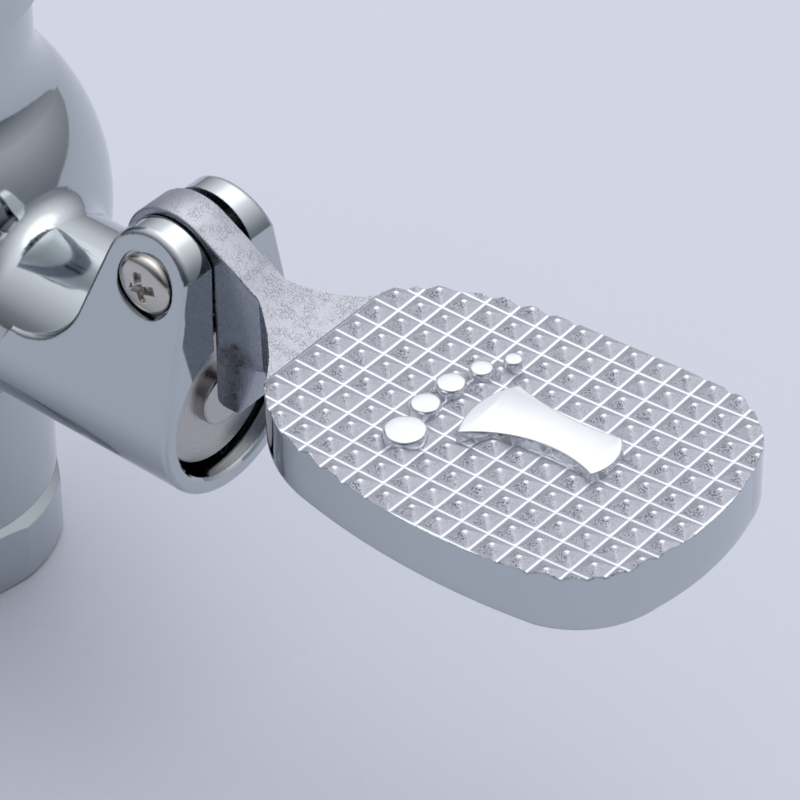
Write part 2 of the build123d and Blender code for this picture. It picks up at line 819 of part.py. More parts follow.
# Gland bush with its rings and gasket
ring_places = [gland_end_x + rod_ring_inset, gasket_front_x - rod_ring_inset]
ring_groove_radius = rod_radius + rod_ring_section
with BuildPart() as gland_bush:
    with BuildSketch(Plane(origin=(gasket_front_x, 0, arm_z), x_dir=(0, 1, 0), z_dir=(1, 0, 0))):
        RegularPolygon(gland_flange_across / 2, 6, major_radius=False)
    extrude(amount=gland_flange)
    flange_turn = band(arm_plane, 0, pocket_radius - gland_side_gap, gasket_front_x, gland_front_x)
    revolve(flange_turn, axis=arm_axis, mode=Mode.INTERSECT)
    revolve(band(arm_plane, 0, gland_thread_radius, gland_end_x, gasket_front_x), axis=arm_axis)
    rod_way = band(arm_plane, 0, rod_radius + rod_fit, gland_end_x, gland_front_x)
    revolve(rod_way, axis=arm_axis, mode=Mode.SUBTRACT)
    for place in ring_places:
        low = place - rod_ring_section / 2
        high = place + rod_ring_section / 2
        rod_ring_groove = band(arm_plane, rod_radius, ring_groove_radius, low, high)
        revolve(rod_ring_groove, axis=arm_axis, mode=Mode.SUBTRACT)
finish(gland_bush, "gland_bush")

with BuildPart() as rod_o_rings:
    bead_size = ring_groove_radius - rod_radius - rod_ring_squeeze
    for place in ring_places:
        revolve(bead(arm_plane, ring_groove_radius - bead_size / 2, place, bead_size), axis=arm_axis)
finish(rod_o_rings, "rod_o_rings")

with BuildPart() as gland_gasket:
    gasket_section = band(arm_plane, gland_thread_radius, gasket_radius, pocket_end_x, gasket_front_x)
    revolve(gasket_section, axis=arm_axis)
finish(gland_gasket, "gland_gasket")

# Rod, its clip and the disc that the spring pushes on
with BuildPart() as push_rod:
    clip_back_x = clip_front_x - clip_thickness
    clip_root = rod_radius - clip_groove
    rod_profile = [
        (0, rod_tip_x),
        (rod_tip_radius, rod_tip_x),
        (rod_radius, rod_tip_x + rod_tip_length),
        (rod_radius, clip_back_x),
        (clip_root, clip_back_x),
        (clip_root, clip_front_x),
        (rod_radius, clip_front_x),
        (rod_radius, disc_front_x),
        (rod_head_radius, disc_front_x),
        (rod_head_radius, rod_end_x),
        (0, rod_end_x),
    ]
    revolve(outline(arm_plane, rod_profile), axis=arm_axis)
    fillet(edges().filter_by(GeomType.CIRCLE).group_by(Axis.X)[-1], rod_head_blend)
finish(push_rod, "push_rod")

with BuildPart() as rod_retaining_ring:
    revolve(band(arm_plane, clip_root, clip_radius, clip_back_x, clip_front_x), axis=arm_axis)
    with Locations((clip_front_x, 0, arm_z - clip_radius)):
        Box(4 * clip_thickness, clip_mouth, clip_radius, mode=Mode.SUBTRACT)
finish(rod_retaining_ring, "rod_retaining_ring")

with BuildPart() as spring_disc:
    disc_section = band(arm_plane, rod_radius + disc_hole_gap, disc_radius, disc_back_x, disc_front_x)
    revolve(disc_section, axis=arm_axis)
    fillet(edges().filter_by(GeomType.CIRCLE).sort_by(SortBy.RADIUS)[-2:], disc_blend)
finish(spring_disc, "spring_disc")


def coil_point(turn, pitch, start):
    """A point of the spring's centre line and its direction there."""
    angle = 2 * math.pi * turn
    across = spring_radius * math.cos(angle)
    up = spring_radius * math.sin(angle)
    spot = Vector(start + pitch * turn, across, arm_z + up)
    way = Vector(pitch / (2 * math.pi), -up, across)
    return spot, way.normalized()


def arc_joint(start, start_way, end, end_way):
    """The point where two arcs meet that leave start and reach end in the given directions."""
    gap = end - start
    both = start_way + end_way
    turn_term = 2 * (1 - start_way.dot(end_way))
    reach = (math.sqrt(gap.dot(both) ** 2 + turn_term * gap.dot(gap)) - gap.dot(both)) / turn_term
    return (start + start_way * reach + end - end_way * reach) * 0.5


coil_start = gland_front_x + spring_wire / 2 + spring_seat_gap
coil_pitch = (spring_length - spring_wire - 2 * spring_seat_gap) / spring_turns
coil_steps = int(4 * spring_turns)
with BuildPart() as return_spring:
    with BuildLine() as coil:
        for step in range(coil_steps):
            start, start_way = coil_point(step / 4, coil_pitch, coil_start)
            end, end_way = coil_point((step + 1) / 4, coil_pitch, coil_start)
            middle = arc_joint(start, start_way, end, end_way)
            first = TangentArc(start, middle, tangent=start_way)
            TangentArc(middle, end, tangent=first % 1)
    first_spot, first_way = coil_point(0, coil_pitch, coil_start)
    with BuildSketch(Plane(origin=first_spot, z_dir=first_way)):
        Circle(spring_wire / 2)
    sweep(path=coil.wires()[0])
finish(return_spring, "return_spring")

coil_spots = [coil_point(step / 16, coil_pitch, coil_start)[0] for step in range(4 * coil_steps + 1)]
coil_gaps = []
for place, near in enumerate(coil_spots):
    coil_gaps += [(far - near).length for far in coil_spots[place + 8 :]]
print("least gap of the spring to itself", round(min(coil_gaps) - spring_wire, 2))

# Pivot screw with a cross recess
head_side_y = screw_seat_y - screw_head_side
head_top_y = screw_seat_y - screw_head_height
with BuildPart() as pivot_screw:
    with BuildSketch(Plane(origin=(pivot_x, 0, pivot_z), x_dir=(1, 0, 0), z_dir=(0, 0, 1))):
        with BuildLine():
            Polyline(
                (0, head_top_y),
                (0, screw_end_y),
                (screw_radius, screw_end_y),
                (screw_radius, screw_seat_y),
                (screw_head_radius, screw_seat_y),
                (screw_head_radius, head_side_y),
            )
            SagittaArc((screw_head_radius, head_side_y), (0, head_top_y), screw_dome_bulge)
        make_face()
    revolve(axis=Axis((pivot_x, 0, pivot_z), (0, 1, 0)))
    with BuildSketch(pivot_plane.offset(head_top_y + cross_depth)):
        Rectangle(cross_length, cross_width)
        Rectangle(cross_width, cross_length)
    extrude(amount=-2 * cross_depth, mode=Mode.SUBTRACT)
finish(pivot_screw, "pivot_screw")

# Pedal: a plate with hub and lobe, and a wide pad that flares out of its neck
pad_tilt = math.radians(pad_rise)
pad_plane = Plane(
    origin=(pivot_x + pad_reach, lever_offset, pivot_z - pad_drop),
    x_dir=(math.cos(pad_tilt), 0, math.sin(pad_tilt)),
    z_dir=(-math.sin(pad_tilt), 0, math.cos(pad_tilt)),
)
lever_plane = Plane(origin=(pivot_x, lever_offset, pivot_z), x_dir=(1, 0, 0), z_dir=(0, -1, 0))
slope = math.radians(hub_slope)
hub_point = (hub_radius * math.sin(slope), hub_radius * math.cos(slope))
neck_point = (neck_start, hub_point[1] - (neck_start - hub_point[0]) * math.tan(slope))
pad_point = (pad_reach, -pad_drop)
neck_middle = (
    (neck_point[0] + pad_point[0]) / 2,
    (neck_point[1] + pad_point[1]) / 2 - neck_sag,
)
pad_floor = -pad_drop - pad_thickness
neck_floor = pad_floor - (pad_reach - neck_start) * math.tan(pad_tilt)
lobe_back = ear_front
lobe_front = lobe_back + lobe_toe


def dish_height(along, across):
    """Height of the dished top over the pad's plane."""
    rise = dish_radius - math.sqrt(dish_radius**2 - (along - dish_reach) ** 2 - across**2)
    return rise - dish_depth


# Outline of the pad seen from above, as an upright prism
with BuildPart() as pad_prism:
    with BuildSketch(pad_plane.offset(-4 * pad_thickness)):
        with BuildLine() as half_outline:
            neck_back = (neck_start - pad_reach, lever_thickness / 2)
            neck_half = (-flare_length, lever_thickness / 2)
            rear_half = (0, flare_half_width)
            shoulder = (shoulder_reach, pad_half_width - shoulder_inset)
            front_corner = (pad_length - corner_setback, pad_half_width - corner_inset)
            nose_corner = (pad_length - nose_setback, nose_half_width)
            Line(neck_back, neck_half)
            SagittaArc(neck_half, rear_half, -flare_sag)
            SagittaArc(rear_half, shoulder, shoulder_bulge)
            SagittaArc(shoulder, front_corner, side_bulge)
            SagittaArc(front_corner, nose_corner, corner_bulge)
            ThreePointArc(nose_corner, (pad_length, 0), (nose_corner[0], -nose_corner[1]))
            sides = half_outline.edges().filter_by(lambda e: e.center().Y > lever_thickness / 4)
            mirror(sides, about=Plane.XZ)
            Line((neck_back[0], -neck_back[1]), neck_back)
        make_face()
    extrude(amount=8 * pad_thickness)

# One stud of the waffle: a low pyramid on a square root, its base's middle at the origin
stud_side = waffle_pitch - waffle_groove
stud_slope = (stud_side - stud_top) / 2 / stud_height
with BuildPart() as stud:
    with BuildSketch():
        Rectangle(stud_side, stud_side)
    extrude(amount=stud_height, taper=math.degrees(math.atan(stud_slope)))
    extrude(faces().sort_by(Axis.Z)[0], amount=stud_root)


def stud_shows(along, across):
    """Whether any of a stud's middle and corners lies over the pad."""
    reach = stud_side / 2
    spots = [(0, 0), (reach, reach), (reach, -reach), (-reach, reach), (-reach, -reach)]
    places = [pad_plane.from_local_coords((along + x, across + y, 0)) for x, y in spots]
    return any(pad_prism.part.is_inside(place) for place in places)


bowl_centre = pad_plane.from_local_coords((dish_reach, 0, dish_radius - dish_depth))
studs = []
for row in range(math.floor(pad_length / waffle_pitch) + 1):
    for column in range(-waffle_side_count, waffle_side_count):
        along = (row + 0.5) * waffle_pitch
        across = (column + 0.5) * waffle_pitch + waffle_shift
        if stud_shows(along, across):
            spot = pad_plane.from_local_coords((along, across, dish_height(along, across)))
            stud_plane = Plane(spot, x_dir=pad_plane.x_dir, z_dir=bowl_centre - spot)
            studs.append(stud.part.moved(stud_plane.location))

# Bowl that dishes the top of the pad, cut off where the neck begins
bowl_plane = Plane(
    origin=pad_plane.from_local_coords((dish_reach, 0, -dish_depth)),
    x_dir=pad_plane.x_dir,
    z_dir=(0, -1, 0),
)
with BuildPart() as bowl:
    bowl_edge = pad_length
    bowl_rise = dish_radius - math.sqrt(dish_radius**2 - bowl_edge**2)
    with BuildSketch(bowl_plane):
        with BuildLine():
            RadiusArc((0, 0), (bowl_edge, bowl_rise), -dish_radius)
            Polyline((bowl_edge, bowl_rise), (bowl_edge, 2 * bowl_rise), (0, 2 * bowl_rise), (0, 0))
        make_face()
    revolve(axis=Axis(bowl_plane.origin, pad_plane.z_dir))
    split(bisect_by=Plane(pad_plane.origin, z_dir=pad_plane.x_dir), keep=Keep.TOP)

# Pad: the side view, dished, studded and then cut to its outline
with BuildPart() as pad_blank:
    with BuildSketch(lever_plane):
        with BuildLine():
            tip = (pad_reach + 2 * pad_length, -pad_drop + 2 * pad_length * math.tan(pad_tilt))
            ThreePointArc(neck_point, neck_middle, pad_point)
            Polyline(
                pad_point,
                (pad_point[0], pad_point[1] + dish_margin),
                (tip[0], tip[1] + dish_margin),
                (tip[0], tip[1] - pad_thickness),
                (neck_point[0], neck_floor),
                neck_point,
            )
        make_face()
    extrude(amount=2 * pad_half_width, both=True)
    add(bowl.part, mode=Mode.SUBTRACT)
    add(studs)
    add(pad_prism.part, mode=Mode.INTERSECT)

# Footprint relief: a sole and five toes that stand on the dished top
toes = [(23.3, -10.7, 3.0), (21.8, -4.3, 2.15), (21.8, 1.5, 2.1), (23.2, 6.7, 1.65), (25.6, 11.0, 1.3)]
ball_near, ball_middle, ball_far = (29.4, -6.8), (27.7, 0.4), (29.9, 6.8)
heel_near, heel_middle, heel_far = (49.4, -3.2), (50.4, 1.4), (48.3, 5.7)
waist_near, waist_far = (41.1, -1.7), (39.6, 5.1)
print_z = -dish_depth - footprint_root
with BuildPart() as footprint:
    with BuildSketch(pad_plane.offset(print_z)):
        with BuildLine():
            ThreePointArc(ball_near, ball_middle, ball_far)
            ThreePointArc(ball_far, waist_far, heel_far)
            ThreePointArc(heel_far, heel_middle, heel_near)
            ThreePointArc(heel_near, waist_near, ball_near)
        make_face()
    extrude(amount=footprint_root + footprint_height)
    chamfer(faces().sort_by(lambda f: f.center().dot(pad_plane.z_dir))[-1].edges(), footprint_edge)
    for along, across, radius in toes:
        toe_top = dish_height(along, across) + footprint_height
        with BuildSketch(pad_plane.offset(print_z)):
            with Locations((along, across)):
                Circle(radius + toe_flare)
        toe_reach = toe_top - print_z
        extrude(amount=toe_reach, taper=math.degrees(math.atan(toe_flare / toe_reach)))

with BuildPart() as pedal_lever:
    with BuildSketch(lever_plane):
        Circle(hub_radius)
        with BuildLine():
            lobe_bottom = -lobe_bottom_drop
            Line(hub_point, neck_point)
            ThreePointArc(neck_point, neck_middle, pad_point)
            Polyline(
                pad_point,
                (pad_reach, pad_floor),
                (lobe_root, neck_floor),
                (lobe_front, lobe_bottom),
                (lobe_back, lobe_bottom),
                (lobe_back, 0),
                (0, 0),
                hub_point,
            )
        make_face()
        fillet(vertices().sort_by_distance((lobe_back, lobe_bottom))[0], lobe_corner)
    extrude(amount=lever_thickness / 2, both=True)
    add(pad_blank.part)
    with BuildSketch(lever_plane):
        with Locations((nose_x, -nose_drop)):
            Circle(nose_radius)
    extrude(amount=nose_width / 2, both=True)
    with BuildSketch(lever_plane):
        Circle(screw_radius + hub_hole_gap)
    extrude(amount=lever_thickness, both=True, mode=Mode.SUBTRACT)
    add(footprint.part)
finish(pedal_lever, "pedal_lever")
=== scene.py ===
import math

import bmesh
import bpy
import numpy as np
from mathutils import Matrix, Vector


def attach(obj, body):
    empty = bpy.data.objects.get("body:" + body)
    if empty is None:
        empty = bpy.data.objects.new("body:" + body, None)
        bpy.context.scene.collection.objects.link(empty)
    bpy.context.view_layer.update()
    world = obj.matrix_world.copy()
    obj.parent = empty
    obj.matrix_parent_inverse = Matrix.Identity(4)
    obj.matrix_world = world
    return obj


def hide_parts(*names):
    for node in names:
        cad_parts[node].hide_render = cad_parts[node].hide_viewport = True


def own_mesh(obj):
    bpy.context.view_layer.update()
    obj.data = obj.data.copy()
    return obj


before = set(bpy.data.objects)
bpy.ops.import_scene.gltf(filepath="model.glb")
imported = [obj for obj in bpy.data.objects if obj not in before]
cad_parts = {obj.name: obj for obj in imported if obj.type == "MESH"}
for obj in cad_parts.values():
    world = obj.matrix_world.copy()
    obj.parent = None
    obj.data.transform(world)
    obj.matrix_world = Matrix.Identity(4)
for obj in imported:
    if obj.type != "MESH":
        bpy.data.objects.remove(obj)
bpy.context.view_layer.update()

# Grain of the materials: noise scales in cycles per metre, depths in metres
EDGE_ROUND = 0.00035
EDGE_SAMPLES = 4
WAVE_SCALE = 90.0
FINE_SCALE = 900.0
SPECK_SCALE = 2600.0
PATCH_SCALE = 300.0
PATCH_DEPTH = 0.00001
PIT_SCALE = 4200.0
PIT_DEPTH = 0.00008
BLOTCH_SCALE = 500.0
BLOTCH_DEPTH = 0.00001
NOISE_MIDDLE = (0.3, 0.7)
FINE_MIDDLE = (0.35, 0.75)
PIT_MIDDLE = (0.5, 0.62)
BLOTCH_MIDDLE = (0.36, 0.54)


def material(name, colour, metallic, roughness):
    """A new node material and its shader."""
    made = bpy.data.materials.new(name)
    made.use_nodes = True
    shader = made.node_tree.nodes["Principled BSDF"]
    shader.inputs["Base Color"].default_value = (*colour, 1.0)
    shader.inputs["Metallic"].default_value = metallic
    shader.inputs["Roughness"].default_value = roughness
    return made, made.node_tree, shader


def noise(tree, scale, detail=4.0, rough=0.5):
    """Noise in the object's own metres, scaled to the size of a grain."""
    made = tree.nodes.new("ShaderNodeTexNoise")
    made.inputs["Scale"].default_value = scale
    made.inputs["Detail"].default_value = detail
    made.inputs["Roughness"].default_value = rough
    coords = tree.nodes.new("ShaderNodeTexCoord").outputs["Object"]
    tree.links.new(coords, made.inputs["Vector"])
    return made


def ramp(tree, source, low, high, low_value, high_value):
    """Map a stretch of a texture's values to two numbers."""
    made = tree.nodes.new("ShaderNodeMapRange")
    made.inputs["From Min"].default_value = low
    made.inputs["From Max"].default_value = high
    made.inputs["To Min"].default_value = low_value
    made.inputs["To Max"].default_value = high_value
    tree.links.new(source, made.inputs["Value"])
    return made.outputs["Result"]


def bump(tree, source, depth, normal=None):
    """A bump of a real depth in metres."""
    made = tree.nodes.new("ShaderNodeBump")
    made.inputs["Strength"].default_value = 1.0
    made.inputs["Distance"].default_value = depth
    tree.links.new(source, made.inputs["Height"])
    if normal is not None:
        tree.links.new(normal, made.inputs["Normal"])
    return made.outputs["Normal"]


def product(tree, first, second):
    """One texture value times another."""
    made = tree.nodes.new("ShaderNodeMath")
    made.operation = "MULTIPLY"
    tree.links.new(first, made.inputs[0])
    tree.links.new(second, made.inputs[1])
    return made.outputs["Value"]


def plated(name, colour, low, high, wave=0.00003, grain=0.0):
    """Plated metal: slight waves of the casting, fine specks, roughness that varies."""
    made, tree, shader = material(name, colour, 1.0, low)
    broad = noise(tree, WAVE_SCALE, 2.0)
    fine = noise(tree, FINE_SCALE, 3.0)
    rough = ramp(tree, fine.outputs["Fac"], *FINE_MIDDLE, low, high)
    tree.links.new(rough, shader.inputs["Roughness"])
    edges = tree.nodes.new("ShaderNodeBevel")
    edges.samples = EDGE_SAMPLES
    edges.inputs["Radius"].default_value = EDGE_ROUND
    normal = bump(tree, broad.outputs["Fac"], wave, edges.outputs["Normal"])
    if grain:
        specks = noise(tree, SPECK_SCALE, 3.0, 0.6)
        normal = bump(tree, specks.outputs["Fac"], grain, normal)
    tree.links.new(normal, shader.inputs["Normal"])
    return made


def turned(name, colour, low, high, centre, axis, pitch, depth):
    """Metal with the fine rings that a lathe leaves about an axis."""
    made, tree, shader = material(name, colour, 1.0, low)
    coords = tree.nodes.new("ShaderNodeTexCoord").outputs["Object"]
    shift = tree.nodes.new("ShaderNodeVectorMath")
    shift.operation = "SUBTRACT"
    shift.inputs[1].default_value = centre
    tree.links.new(coords, shift.inputs[0])
    flat = tree.nodes.new("ShaderNodeVectorMath")
    flat.operation = "MULTIPLY"
    flat.inputs[1].default_value = [0.0 if place == axis else 1.0 for place in range(3)]
    tree.links.new(shift.outputs["Vector"], flat.inputs[0])
    length = tree.nodes.new("ShaderNodeVectorMath")
    length.operation = "LENGTH"
    tree.links.new(flat.outputs["Vector"], length.inputs[0])
    rings = tree.nodes.new("ShaderNodeTexNoise")
    rings.noise_dimensions = "1D"
    rings.inputs["Scale"].default_value = 1.0 / pitch
    rings.inputs["Detail"].default_value = 3.0
    tree.links.new(length.outputs["Value"], rings.inputs["W"])
    rough = ramp(tree, rings.outputs["Fac"], *NOISE_MIDDLE, low, high)
    tree.links.new(rough, shader.inputs["Roughness"])
    patches = noise(tree, PATCH_SCALE, 3.0)
    normal = bump(tree, rings.outputs["Fac"], depth)
    normal = bump(tree, patches.outputs["Fac"], PATCH_DEPTH, normal)
    tree.links.new(normal, shader.inputs["Normal"])
    return made


def soft(name, colour, low, high, scale, depth):
    """Rubber or plastic with a fine moulded grain."""
    made, tree, shader = material(name, colour, 0.0, low)
    grain = noise(tree, scale)
    rough = ramp(tree, grain.outputs["Fac"], *NOISE_MIDDLE, low, high)
    tree.links.new(rough, shader.inputs["Roughness"])
    tree.links.new(bump(tree, grain.outputs["Fac"], depth), shader.inputs["Normal"])
    return made


def cast_skin(name, bright, neck, pale, dark):
    """Plated casting: smooth in grooves and on tips, with fine dark pits where the grain is.

    The mesh says how many dark pits each point gets (grain: cast grain, with painted shade on the
    studs' near and rear sides) and which skin shows there (tone).
    """
    made, tree, shader = material(name, pale, 1.0, 0.3)
    coarse, tone = (tree.nodes.new("ShaderNodeAttribute") for _ in range(2))
    coarse.attribute_name = "grain"
    tone.attribute_name = "tone"
    specks = noise(tree, PIT_SCALE, 2.0, 0.6)
    broad = noise(tree, BLOTCH_SCALE, 3.0)
    pits = ramp(tree, specks.outputs["Fac"], *PIT_MIDDLE, 0.0, 1.0)
    blotches = ramp(tree, broad.outputs["Fac"], *BLOTCH_MIDDLE, 0.25, 1.0)
    # The grain attribute holds cast grain and, on the studs' near and rear sides, painted shade
    depth = product(tree, coarse.outputs["Fac"], blotches)
    share = product(tree, depth, pits)
    skin = tree.nodes.new("ShaderNodeValToRGB")
    skin.color_ramp.elements[0].color = (*bright, 1.0)
    skin.color_ramp.elements[1].color = (*pale, 1.0)
    skin.color_ramp.elements.new(0.5).color = (*neck, 1.0)
    tree.links.new(tone.outputs["Fac"], skin.inputs["Fac"])
    shade = tree.nodes.new("ShaderNodeMix")
    shade.data_type = "RGBA"
    shade.inputs["B"].default_value = (*dark, 1.0)
    tree.links.new(share, shade.inputs["Factor"])
    tree.links.new(skin.outputs["Color"], shade.inputs["A"])
    tree.links.new(shade.outputs["Result"], shader.inputs["Base Color"])
    rough = ramp(tree, tone.outputs["Fac"], 0.0, 1.0, 0.25, 0.62)
    tree.links.new(rough, shader.inputs["Roughness"])
    normal = bump(tree, broad.outputs["Fac"], BLOTCH_DEPTH)
    pitted = tree.nodes.new("ShaderNodeBump")
    pitted.invert = True
    pitted.inputs["Distance"].default_value = PIT_DEPTH
    tree.links.new(depth, pitted.inputs["Strength"])
    tree.links.new(pits, pitted.inputs["Height"])
    tree.links.new(normal, pitted.inputs["Normal"])
    tree.links.new(pitted.outputs["Normal"], shader.inputs["Normal"])
    return made


# Axes that the turned pieces share, in metres
ARM_AXIS = (0.0, 0.0, -0.0037)
BODY_AXIS = (0.082, 0.0, 0.0)
PIVOT = (0.1465, 0.0, 0.0209)
X, Y, Z = range(3)

# Colours, for the waffle those of its grooves and tips, its neck, the studs' sides and the pits
CHROME = (0.5, 0.535, 0.555)
RELIEF = (0.84, 0.85, 0.88)
WAFFLE = ((0.8, 0.81, 0.86), (0.42, 0.43, 0.475), (0.5, 0.51, 0.56), (0.1, 0.11, 0.14))
# Painted shade: dark slate for the lever's front and flat sides and for the pad's walls by the
# neck
PAINTED_SHADE_SLATE = (0.3, 0.32, 0.36)
DISC_STEEL = (0.5, 0.48, 0.47)
SCREW_STEEL = (0.56, 0.53, 0.5)
WIRE_STEEL = (0.5, 0.5, 0.5)
BODY_BRASS = (0.72, 0.53, 0.27)
GLAND_BRASS = (0.7, 0.5, 0.25)
RUBBER = (0.02, 0.02, 0.022)
NYLON = (0.78, 0.77, 0.72)

# Pitch and depth of the fine rings that a lathe leaves, in metres
POLISHED_RINGS = (0.0002, 0.000001)
PLAIN_RINGS = (0.0003, 0.000005)

chrome = plated("polished_chrome", CHROME, 0.05, 0.1)
bright_chrome = plated("bright_relief", RELIEF, 0.1, 0.2, 0.00004)
waffle_chrome = cast_skin("waffle_chrome", *WAFFLE)
# Chrome in the painted shade slate, for faces that lie in shade
painted_shade_chrome = plated("painted_shade_chrome", PAINTED_SHADE_SLATE, 0.2, 0.4, 0.00004, 0.00002)
disc_steel = turned("turned_stainless_disc", DISC_STEEL, 0.22, 0.4, ARM_AXIS, X, *POLISHED_RINGS)
screw_steel = turned("screw_stainless", SCREW_STEEL, 0.12, 0.24, PIVOT, Y, *POLISHED_RINGS)
wire_steel = plated("spring_wire", WIRE_STEEL, 0.25, 0.4)
body_brass = turned("turned_brass", BODY_BRASS, 0.2, 0.36, BODY_AXIS, Z, *PLAIN_RINGS)
gland_brass = turned("gland_brass", GLAND_BRASS, 0.25, 0.42, ARM_AXIS, X, *PLAIN_RINGS)
rubber = soft("black_rubber", RUBBER, 0.5, 0.75, 1500.0, 0.00002)
nylon = soft("pale_nylon", NYLON, 0.35, 0.5, 900.0, 0.00001)

LOOKS = {
    "valve_body": chrome,
    "top_cap": chrome,
    "outlet_nut": chrome,
    "inlet_union_nut": chrome,
    "inlet_tail": chrome,
    "pedal_lever": waffle_chrome,
    "pivot_screw": screw_steel,
    "spring_disc": disc_steel,
    "push_rod": disc_steel,
    "return_spring": wire_steel,
    "rod_retaining_ring": wire_steel,
    "gland_bush": gland_brass,
    "rod_o_rings": rubber,
    "gland_gasket": rubber,
    "seat_ring": body_brass,
    "piston": body_brass,
    "piston_cup_seal": rubber,
    "cup_seal_retainer": body_brass,
    "seat_washer": rubber,
    "piston_guide": body_brass,
    "bleed_jet": body_brass,
    "relief_valve_stem": body_brass,
    "relief_valve_seal": rubber,
    "top_cap_o_ring": rubber,
    "timing_screw": body_brass,
    "timing_screw_o_ring": rubber,
    "inlet_washer": rubber,
    "outlet_slip_ring": nylon,
    "outlet_cone_washer": rubber,
}
for node, look in LOOKS.items():
    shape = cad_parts[node]
    shape.data.materials.clear()
    shape.data.materials.append(look)

MM = 0.001

# Pedal casting, in millimetres: sizes and places as the solid has them
PAD_REACH = 25.92
PAD_DROP = 2.66
PAD_RISE = math.radians(3.0)
PAD_THICK = 8.6
PAD_LENGTH = 67.7
PAD_HALF = 24.75
LEVER_THICK = 6.3
LEVER_Y = -0.85
HUB_RADIUS = 9.4
HUB_BORE = 2.58
ARM_END = 17.6
ARM_LAP = 0.03
NECK_START = 12.5
NECK_START_HEIGHT = 3.728
NECK_EDGE = NECK_START - PAD_REACH
DISH_REACH = 31.5
DISH_DEPTH = 0.5
DISH_RADIUS = 560.0
PITCH = 4.5
RIDGE_SHIFT = 2.36
GROOVE_HALF = 0.18
STUD_HEIGHT = 1.0
STUD_TIP = 0.28
STUD_CURVE = 0.9
STUD_LINES = (0.0, 0.24, 0.36, 0.62, 0.92, 1.26, 1.6, 1.88, 2.09)
WALL_ROUND = 0.7
# Where the walls by the neck stop taking the painted shade look, along the pad
NECK_SHADE_END = 0.8
PRINT_HEIGHT = 2.0
STEP = 0.3

# Angles of the rows that round an edge
EDGE_TURNS = [math.radians(turn) for turn in (22.5, 45.0, 67.5, 90.0)]

# Centre and radius of the arc that hollows the neck's top, as seen from the side
NECK_ARC = (45.3789, 55.5098, 61.3382)

# Where the neck's top turns into the pad's, and a limit that keeps its arc finite
BLEND_START = 0.45
BLEND_LENGTH = 0.35
NECK_LIMIT = 12.0

# Grain of the neck, and of a stud's near, far, rear and front sides: cast grain, with painted
# shade where the near and rear sides get more dark pits
NECK_GRAIN = 0.4
NECK_TONE = 0.5
SIDE_GRAINS_AND_SHADE = (1.0, 0.35, 0.7, 0.4)

# How fast grain and tone come in over a stud's foot and go at its tip
GRAIN_RISE = 5.0
GRAIN_FALL = 8.0
GRAIN_LOW = 0.45
TONE_RISE = 9.0

# Wear of the cast lip: its least, what the deepest chips add, how rare they are, points to a chip
LIP_WEAR = 0.07
CHIP_DEPTH = 0.16
CHIP_RARITY = 1.6
CHIP_POINTS = 6
CHIP_SLOPE = 1.3

# Spacing of the points round the pad and round the arm, the arm's corners and its share of wear
PAD_STEP = 0.1
ARM_STEP = 0.25
ARM_CORNER = 1.2
ARM_WEAR = 0.6
ARM_EDGE = 0.3

# Relief on the pad: the toes' places and radii, then the sole's corners and the middles of its
# sides, the middle line that its rings shrink towards, and its rounded edge and uneven sides
TOES = (
    (23.3, -10.7, 3.0),
    (21.8, -4.3, 2.15),
    (21.8, 1.5, 2.1),
    (23.2, 6.7, 1.65),
    (25.6, 11.0, 1.3),
)
BALL = ((29.4, -6.8), (27.7, 0.4), (29.9, 6.8))
HEEL = ((48.3, 5.7), (50.4, 1.4), (49.4, -3.2))
WAIST_FAR = (39.6, 5.1)
WAIST_NEAR = (41.1, -1.7)
SOLE_START = (32.0, 0.2)
SOLE_RUN = (15.5, 1.0)
SOLE_EDGE = 0.3
SOLE_SHAKE = 0.12

# A toe's profile: how far past its radius, and how far over the pad or under its own top
TOE_SIDES = 48
TOE_FOOT = ((0.18, -0.4), (0.18, 0.2), (0.19, 0.8))
TOE_EDGE = ((0.17, 0.7), (0.12, 0.45), (0.0, 0.15), (-0.12, 0.04), (-0.3, 0.01))
TOE_TOP_SHARE = 0.4


def hash_noise(first, second):
    """An even spread of numbers from -1 to 1 that is the same on each run."""
    value = math.sin(first * 12.9898 + second * 78.233) * 43758.5453
    return 2 * (value - math.floor(value)) - 1


def arc_between(centre, radius, start, end, count):
    """Points of a circle's shorter arc from start to just before end."""
    cx, cy = centre
    first = math.atan2(start[1] - cy, start[0] - cx)
    last = math.atan2(end[1] - cy, end[0] - cx)
    sweep = (last - first + math.pi) % math.tau - math.pi
    turns = [first + sweep * i / count for i in range(count)]
    return [(cx + radius * math.cos(a), cy + radius * math.sin(a)) for a in turns]


def sagitta_arc(start, end, sag, count):
    """Points of an arc from start to end that bows out by sag to the left."""
    sx, sy = start
    ex, ey = end
    chord = math.hypot(ex - sx, ey - sy)
    nx, ny = -(ey - sy) / chord, (ex - sx) / chord
    radius = (chord * chord / 4 + sag * sag) / (2 * abs(sag))
    side = 1 if sag > 0 else -1
    reach = side * (abs(sag) - radius)
    centre = ((sx + ex) / 2 + nx * reach, (sy + ey) / 2 + ny * reach)
    return arc_between(centre, radius, start, end, count)


def three_point_arc(start, middle, end, count):
    """Points of the arc through three points."""
    (ax, ay), (bx, by), (cx, cy) = start, middle, end
    det = 2 * (ax * (by - cy) + bx * (cy - ay) + cx * (ay - by))
    a2, b2, c2 = ax**2 + ay**2, bx**2 + by**2, cx**2 + cy**2
    ux = (a2 * (by - cy) + b2 * (cy - ay) + c2 * (ay - by)) / det
    uy = (a2 * (cx - bx) + b2 * (ax - cx) + c2 * (bx - ax)) / det
    return arc_between((ux, uy), math.hypot(ax - ux, ay - uy), start, end, count)


